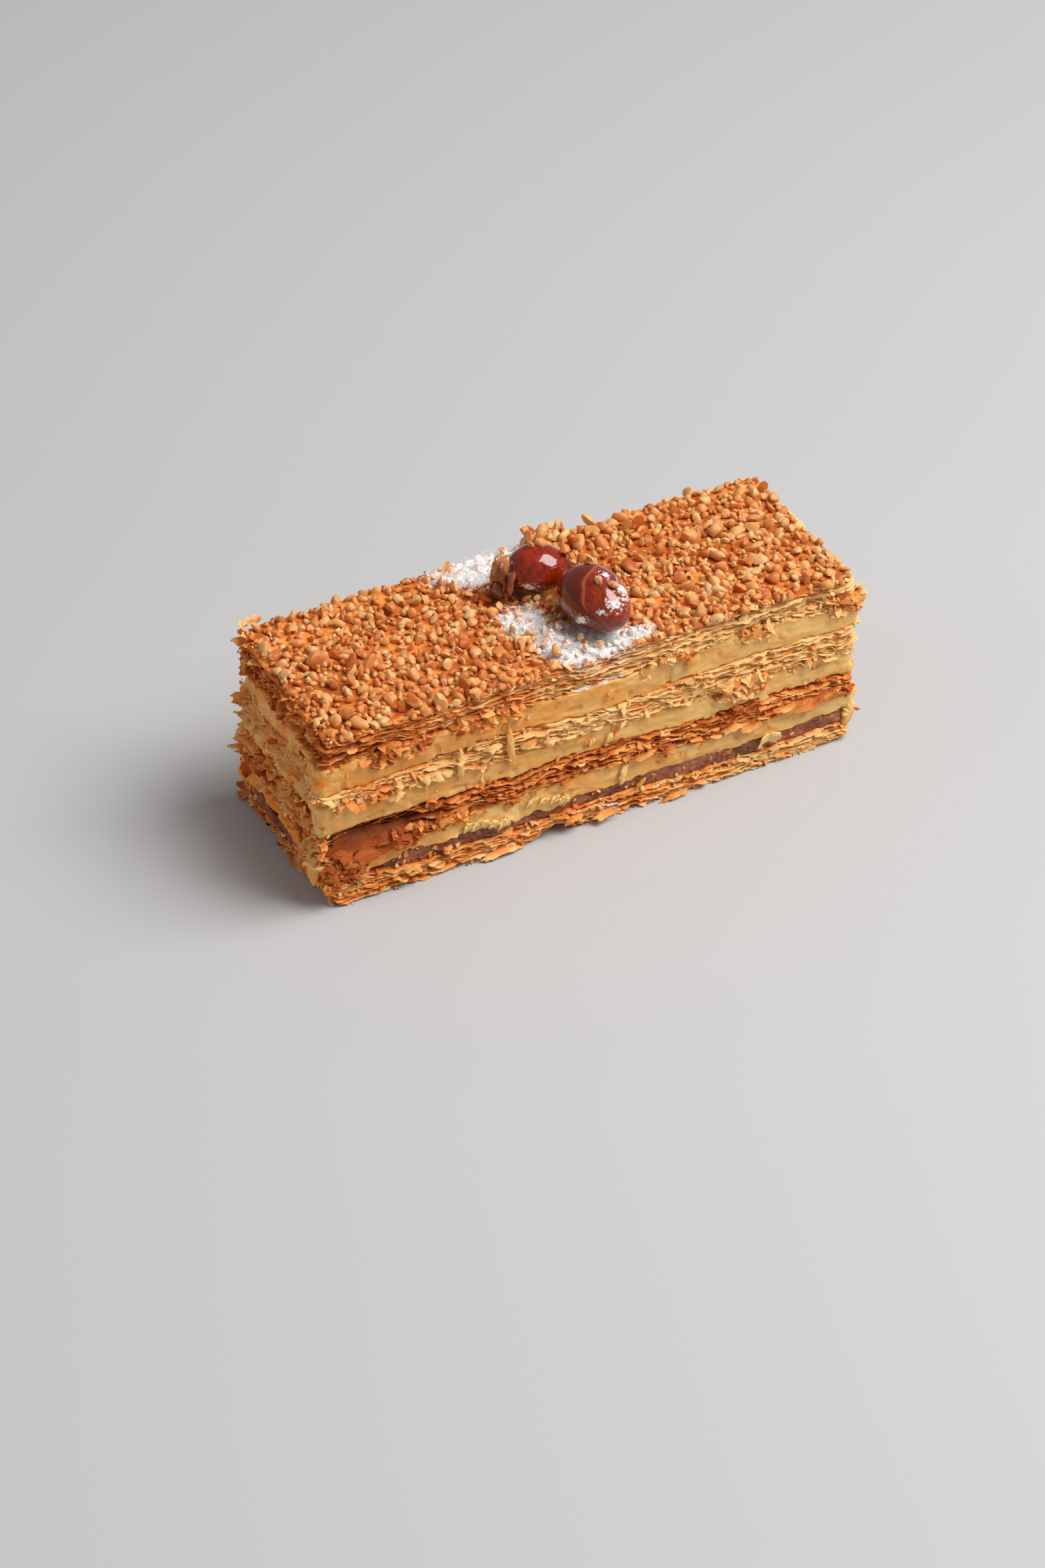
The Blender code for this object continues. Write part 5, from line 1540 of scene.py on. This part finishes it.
def glazed_nut(name, seed, rows=110, columns=150):
    """An egg laid on its side, with a curled seam in its glaze, soft dents and a dusting of sugar.

    t goes along the nut from end to end and a round it. The egg is a sphere whose width narrows
    towards one end. The glaze is thicker to the left of the seam, a curve across the side that
    faces the front left. The back nut is painted darker towards its left and right edges as the
    camera sees it, and both are painted dark under the nut: painted shade.
    """
    low, high, centre, half = nut_frame(name)
    t = np.linspace(0.0, np.pi, rows)[None, :]
    a = (np.arange(columns) * 2 * np.pi / columns)[:, None]
    pole = np.cos(t) * np.ones_like(a)
    slim = 1.0 - 0.10 * (pole + pole * pole)
    unit = np.stack((pole, np.sin(t) * np.cos(a) * slim, np.sin(t) * np.sin(a) * slim), axis=-1)
    angle = np.radians(NUT_TURNS[name])
    turn = np.array(((np.cos(angle), -np.sin(angle), 0), (np.sin(angle), np.cos(angle), 0), (0, 0, 1)))
    facing = unit @ turn.T
    right, up, near = (facing @ np.array(way) for way in VIEW_WAYS)
    rough = 0.05 * field(unit, 0.5, seed + 6)
    if name == "glazed_nut_front":
        seam = -0.48 + 0.85 * (up - 0.12) ** 2 + rough + 0.05 * np.sin(6.0 * up)
        past = ease((seam - right) / 0.10)
        lip = np.exp(-((right - seam) / 0.022) ** 2) * ease((near + 0.2) / 0.2) * ease((up + 0.45) / 0.3)
    else:
        # Painted shade: the back nut is darker towards its left and right edges as the camera sees it.
        past = 0.8 * np.maximum(ease((-0.55 - right + 2 * rough) / 0.4), ease((right - 0.62 + 2 * rough) / 0.35))
        lip = 0.0 * past
    dents = 0.035 * field(unit, 0.9, seed) + 0.014 * field(unit, 0.35, seed + 1)
    wrinkle = 0.006 * field(unit * (0.5, 1.0, 1.0), 0.14, seed + 2) * (1.0 - past)
    swell = 1.0 + dents + wrinkle + 0.022 * past + 0.018 * lip
    points = (unit * half * swell[..., None] * 0.985) @ turn.T + centre
    points[..., 2] = np.maximum(points[..., 2], low[2] + 0.05 * MM)
    # Painted shade: what faces down is painted with the dark glaze.
    under = ease((-0.15 - facing[..., 2]) / 0.5)
    glaze_and_shade = np.maximum(0.9 * past, 0.75 * under)
    grain = 1.0 + 0.9 * fractal(points, 1.5 * MM, seed + 5)
    dust = 0.0 * right
    for centre_right, centre_up, wide, tall, strength in NUT_DUST[name]:
        away = ((right - centre_right) / wide) ** 2 + ((up - centre_up) / tall) ** 2
        dust = np.maximum(dust, strength * np.exp(-away) * ease((near + 0.1) / 0.3))
    foot = ease((low[2] + 1.8 * MM - points[..., 2]) / (1.4 * MM))
    dust = np.clip(np.maximum(dust, 0.3 * foot * ease((near + 0.1) / 0.5)) * grain, 0.0, 1.0)
    faces = tube_faces(columns, rows, closed=False)
    return points.reshape(-1, 3), faces, {"glaze_and_shade": glaze_and_shade, "sugar": dust, "seam": lip}


# The caramel chip's petals: centre, two half directions, bend and thickness in millimetres, and
# darkness.
CARAMEL_PETALS = (
    ((-7.9, 6.2, 46.0), (0.9, 0.8, 3.1), (1.5, -0.9, -0.2), 0.9, 0.45, 0.1),
    ((-6.9, 3.7, 44.2), (0.5, 0.2, 2.6), (0.5, -0.9, 0.1), 0.8, 0.35, 0.5),
    ((-7.4, 5.2, 44.2), (0.1, 0.3, 3.6), (1.0, 0.9, 0.0), 0.8, 0.4, 0.9),
    ((-8.9, 5.2, 42.2), (0.9, -0.3, 1.6), (1.3, -0.5, -0.8), 0.6, 0.35, 0.7),
    ((-9.3, 6.6, 43.8), (0.3, 0.3, 2.6), (0.9, 0.7, 0.2), 0.6, 0.35, 0.6),
)


class SLICE_OT_caramel(bpy.types.Operator):
    """Build the curled chip of caramel beside the back nut"""

    bl_idname = "slice.caramel"
    bl_label = "Caramel chip"

    def execute(self, context):
        mat = caramel_material(srgb(196, 120, 70), srgb(112, 58, 36))
        points, faces, tone = caramel_chip()
        add_piece("caramel_chip_body", points, [faces], mat, "caramel", replaces="caramel_chip", merge=2e-6,
                  tone=tone)
        return {"FINISHED"}


def caramel_chip():
    """A curled chip as several thin petals that lean on one another, and each petal's darkness."""
    return flakes(CARAMEL_PETALS, 400, 0, 0.12)


def sugar_drift(step=0.28 * MM):
    """The sugar's body: a grid over the top that stands proud where sugar lies and dips elsewhere.

    Its height over the top is the sugar's amount and fine noise, less a constant; a flat underside
    closes it.
    """
    x = np.arange(-17.0 * MM, 17.0 * MM, step)
    y = np.arange(-20.0 * MM, 20.0 * MM, step)
    along, across = (grid.ravel() for grid in np.meshgrid(x, y, indexing="ij"))
    flat = np.stack((along, across, 0.0 * along), axis=-1)
    amount = sugar_at(flat)
    top = height_at("pastry_top", True, along, across)
    rise = 1.7 * amount - 0.7 + 0.13 * fractal(flat, 0.9 * MM, 921) * np.sqrt(amount)
    rim = (np.abs(along) > 16.6 * MM) | (np.abs(across) > 19.6 * MM)
    rise = np.where(rim, -0.9, np.clip(rise, -0.9, 0.8))
    upper = np.stack((along, across, top + rise * MM), axis=-1)
    lower = np.stack((along, across, top - 0.95 * MM), axis=-1)
    columns, count = len(y), len(along)
    i, j = (index.ravel() for index in np.mgrid[0:len(x) - 1, 0:columns - 1])
    face = np.stack((i * columns + j, (i + 1) * columns + j, (i + 1) * columns + j + 1, i * columns + j + 1), axis=-1)
    ring = np.concatenate((
        np.arange(len(x)) * columns,
        (len(x) - 1) * columns + np.arange(1, columns),
        (np.arange(len(x))[::-1] * columns + columns - 1)[1:],
        np.arange(columns)[::-1][1:-1],
    ))
    after = np.roll(ring, -1)
    wall = np.stack((after, ring, ring + count, after + count), axis=-1)
    return np.concatenate((upper, lower)), np.concatenate((face, face[:, ::-1] + count, wall))


class SLICE_OT_sugar(bpy.types.Operator):
    """Scatter the powdered sugar as fine grains"""

    bl_idname = "slice.sugar"
    bl_label = "Powdered sugar"

    def execute(self, context):
        settings = context.scene.slice_topping
        mat = sugar_material(tuple(settings.sugar), srgb(236, 230, 227))
        points, faces = sugar_drift()
        add_piece("sugar_drift", points, [faces], mat, "sugar")
        draw = np.random.default_rng(910)
        tries = draw.uniform((-20, -20.6), (18, 20.6), (60000, 2)) * MM
        spots = np.concatenate((tries, np.full((len(tries), 1), 40 * MM)), axis=1)
        kept = draw.uniform(size=len(tries)) < 0.9 * sugar_at(spots) ** 1.4
        spots = spots[kept][: settings.grains]
        base = height_at("pastry_top", True, spots[:, 0], spots[:, 1])
        spots[:, 2] = base + draw.uniform(0.3, 1.2, len(spots)) * MM * (0.4 + sugar_at(spots))
        sizes = draw.uniform(0.10, 0.26, len(spots)) * MM
        points, faces, cut = chunks(spots, sizes, draw, 0.7, 1.2, planes=6, detail=1)
        add_piece("sugar_grains", points, [faces], mat, "sugar")
        return {"FINISHED"}


class SLICE_OT_stage(bpy.types.Operator):
    """Lay the floor and place the light and the camera"""

    bl_idname = "slice.stage"
    bl_label = "Stage"

    def execute(self, context):
        settings = context.scene.slice_stage
        lay_floor(tuple(settings.floor))
        soft_light("key_light", (0.50, -0.32, 0.92), (0.0, 0.0, 0.02), 0.75, settings.key)
        soft_light("fill_light", (-0.95, 0.30, 0.34), (0.0, 0.0, 0.03), 0.7, settings.side, False)
        world = bpy.data.worlds.new("soft_room")
        world.use_nodes = True
        back = world.node_tree.nodes["Background"]
        back.inputs["Color"].default_value = (0.98, 0.99, 1.0, 1.0)
        back.inputs["Strength"].default_value = settings.fill
        context.scene.world = world
        context.scene.view_settings.view_transform = "Standard"
        camera = bpy.data.objects.new("camera", bpy.data.cameras.new("camera"))
        camera.data.lens = settings.lens
        camera.data.sensor_width = 36.0
        camera.data.clip_start = 0.01
        camera.location = (-0.3218, -0.6030, 0.5439)
        aim = Vector((0.3616, 0.6905, -0.6265))
        camera.rotation_euler = aim.to_track_quat("-Z", "Y").to_euler()
        context.scene.collection.objects.link(camera)
        context.scene.camera = camera
        return {"FINISHED"}


def lay_floor(colour):
    """A wide pale floor with a very faint unevenness."""
    mesh = bpy.data.meshes.new("floor")
    half = 3.0
    mesh.from_pydata([(-half, -half, 0), (half, -half, 0), (half, half, 0), (-half, half, 0)], [], [(0, 1, 2, 3)])
    mat, tree, shader = new_material("floor_surface", 0.6, specular=0.2)
    shade = noise(tree, place(tree), 3.0, 2.0)
    darker = tuple(0.985 * value for value in colour)
    tree.links.new(ramp(tree, ((0.3, darker), (0.7, colour)), shade), shader.inputs["Base Color"])
    mesh.materials.append(mat)
    floor = bpy.data.objects.new("floor", mesh)
    bpy.context.scene.collection.objects.link(floor)


def soft_light(name, place_at, aim, size, power, mirrored=True):
    """A square area light that faces a point; mirrored says whether glossy surfaces reflect it."""
    lamp = bpy.data.lights.new(name, "AREA")
    lamp.shape = "SQUARE"
    lamp.size = size
    lamp.energy = power
    light = bpy.data.objects.new(name, lamp)
    light.location = place_at
    light.visible_glossy = mirrored
    way = Vector(aim) - Vector(place_at)
    light.rotation_euler = way.to_track_quat("-Z", "Y").to_euler()
    bpy.context.scene.collection.objects.link(light)


class SLICE_PT_panel(bpy.types.Panel):
    """Lists the steps that build the slice"""

    bl_label = "Mille feuille slice"
    bl_idname = "SLICE_PT_panel"
    bl_space_type = "VIEW_3D"
    bl_region_type = "UI"
    bl_category = "Pastry"

    def draw(self, context):
        for settings in ("slice_pastry", "slice_filling", "slice_topping", "slice_stage"):
            box = self.layout.box()
            group = getattr(context.scene, settings)
            for name in group.__annotations__:
                box.prop(group, name)
        for step in STEPS:
            self.layout.operator(step.bl_idname)


STEPS = (
    SLICE_OT_stage,
    SLICE_OT_pastry,
    SLICE_OT_loose_leaves,
    SLICE_OT_filling,
    SLICE_OT_topping,
    SLICE_OT_glazed_nuts,
    SLICE_OT_caramel,
    SLICE_OT_sugar,
)
SETTINGS = {
    "slice_pastry": PastrySettings,
    "slice_filling": FillingSettings,
    "slice_topping": ToppingSettings,
    "slice_stage": StageSettings,
}


def register():
    """Register the settings, the steps and the panel."""
    for name, settings in SETTINGS.items():
        bpy.utils.register_class(settings)
        setattr(bpy.types.Scene, name, bpy.props.PointerProperty(type=settings))
    for step in STEPS:
        bpy.utils.register_class(step)
    bpy.utils.register_class(SLICE_PT_panel)


def unregister():
    """Take back what register did."""
    bpy.utils.unregister_class(SLICE_PT_panel)
    for step in reversed(STEPS):
        bpy.utils.unregister_class(step)
    for name, settings in SETTINGS.items():
        delattr(bpy.types.Scene, name)
        bpy.utils.unregister_class(settings)


def main():
    """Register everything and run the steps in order."""
    register()
    for step in STEPS:
        group, name = step.bl_idname.split(".")
        getattr(getattr(bpy.ops, group), name)()


if __name__ == "__main__":
    main()
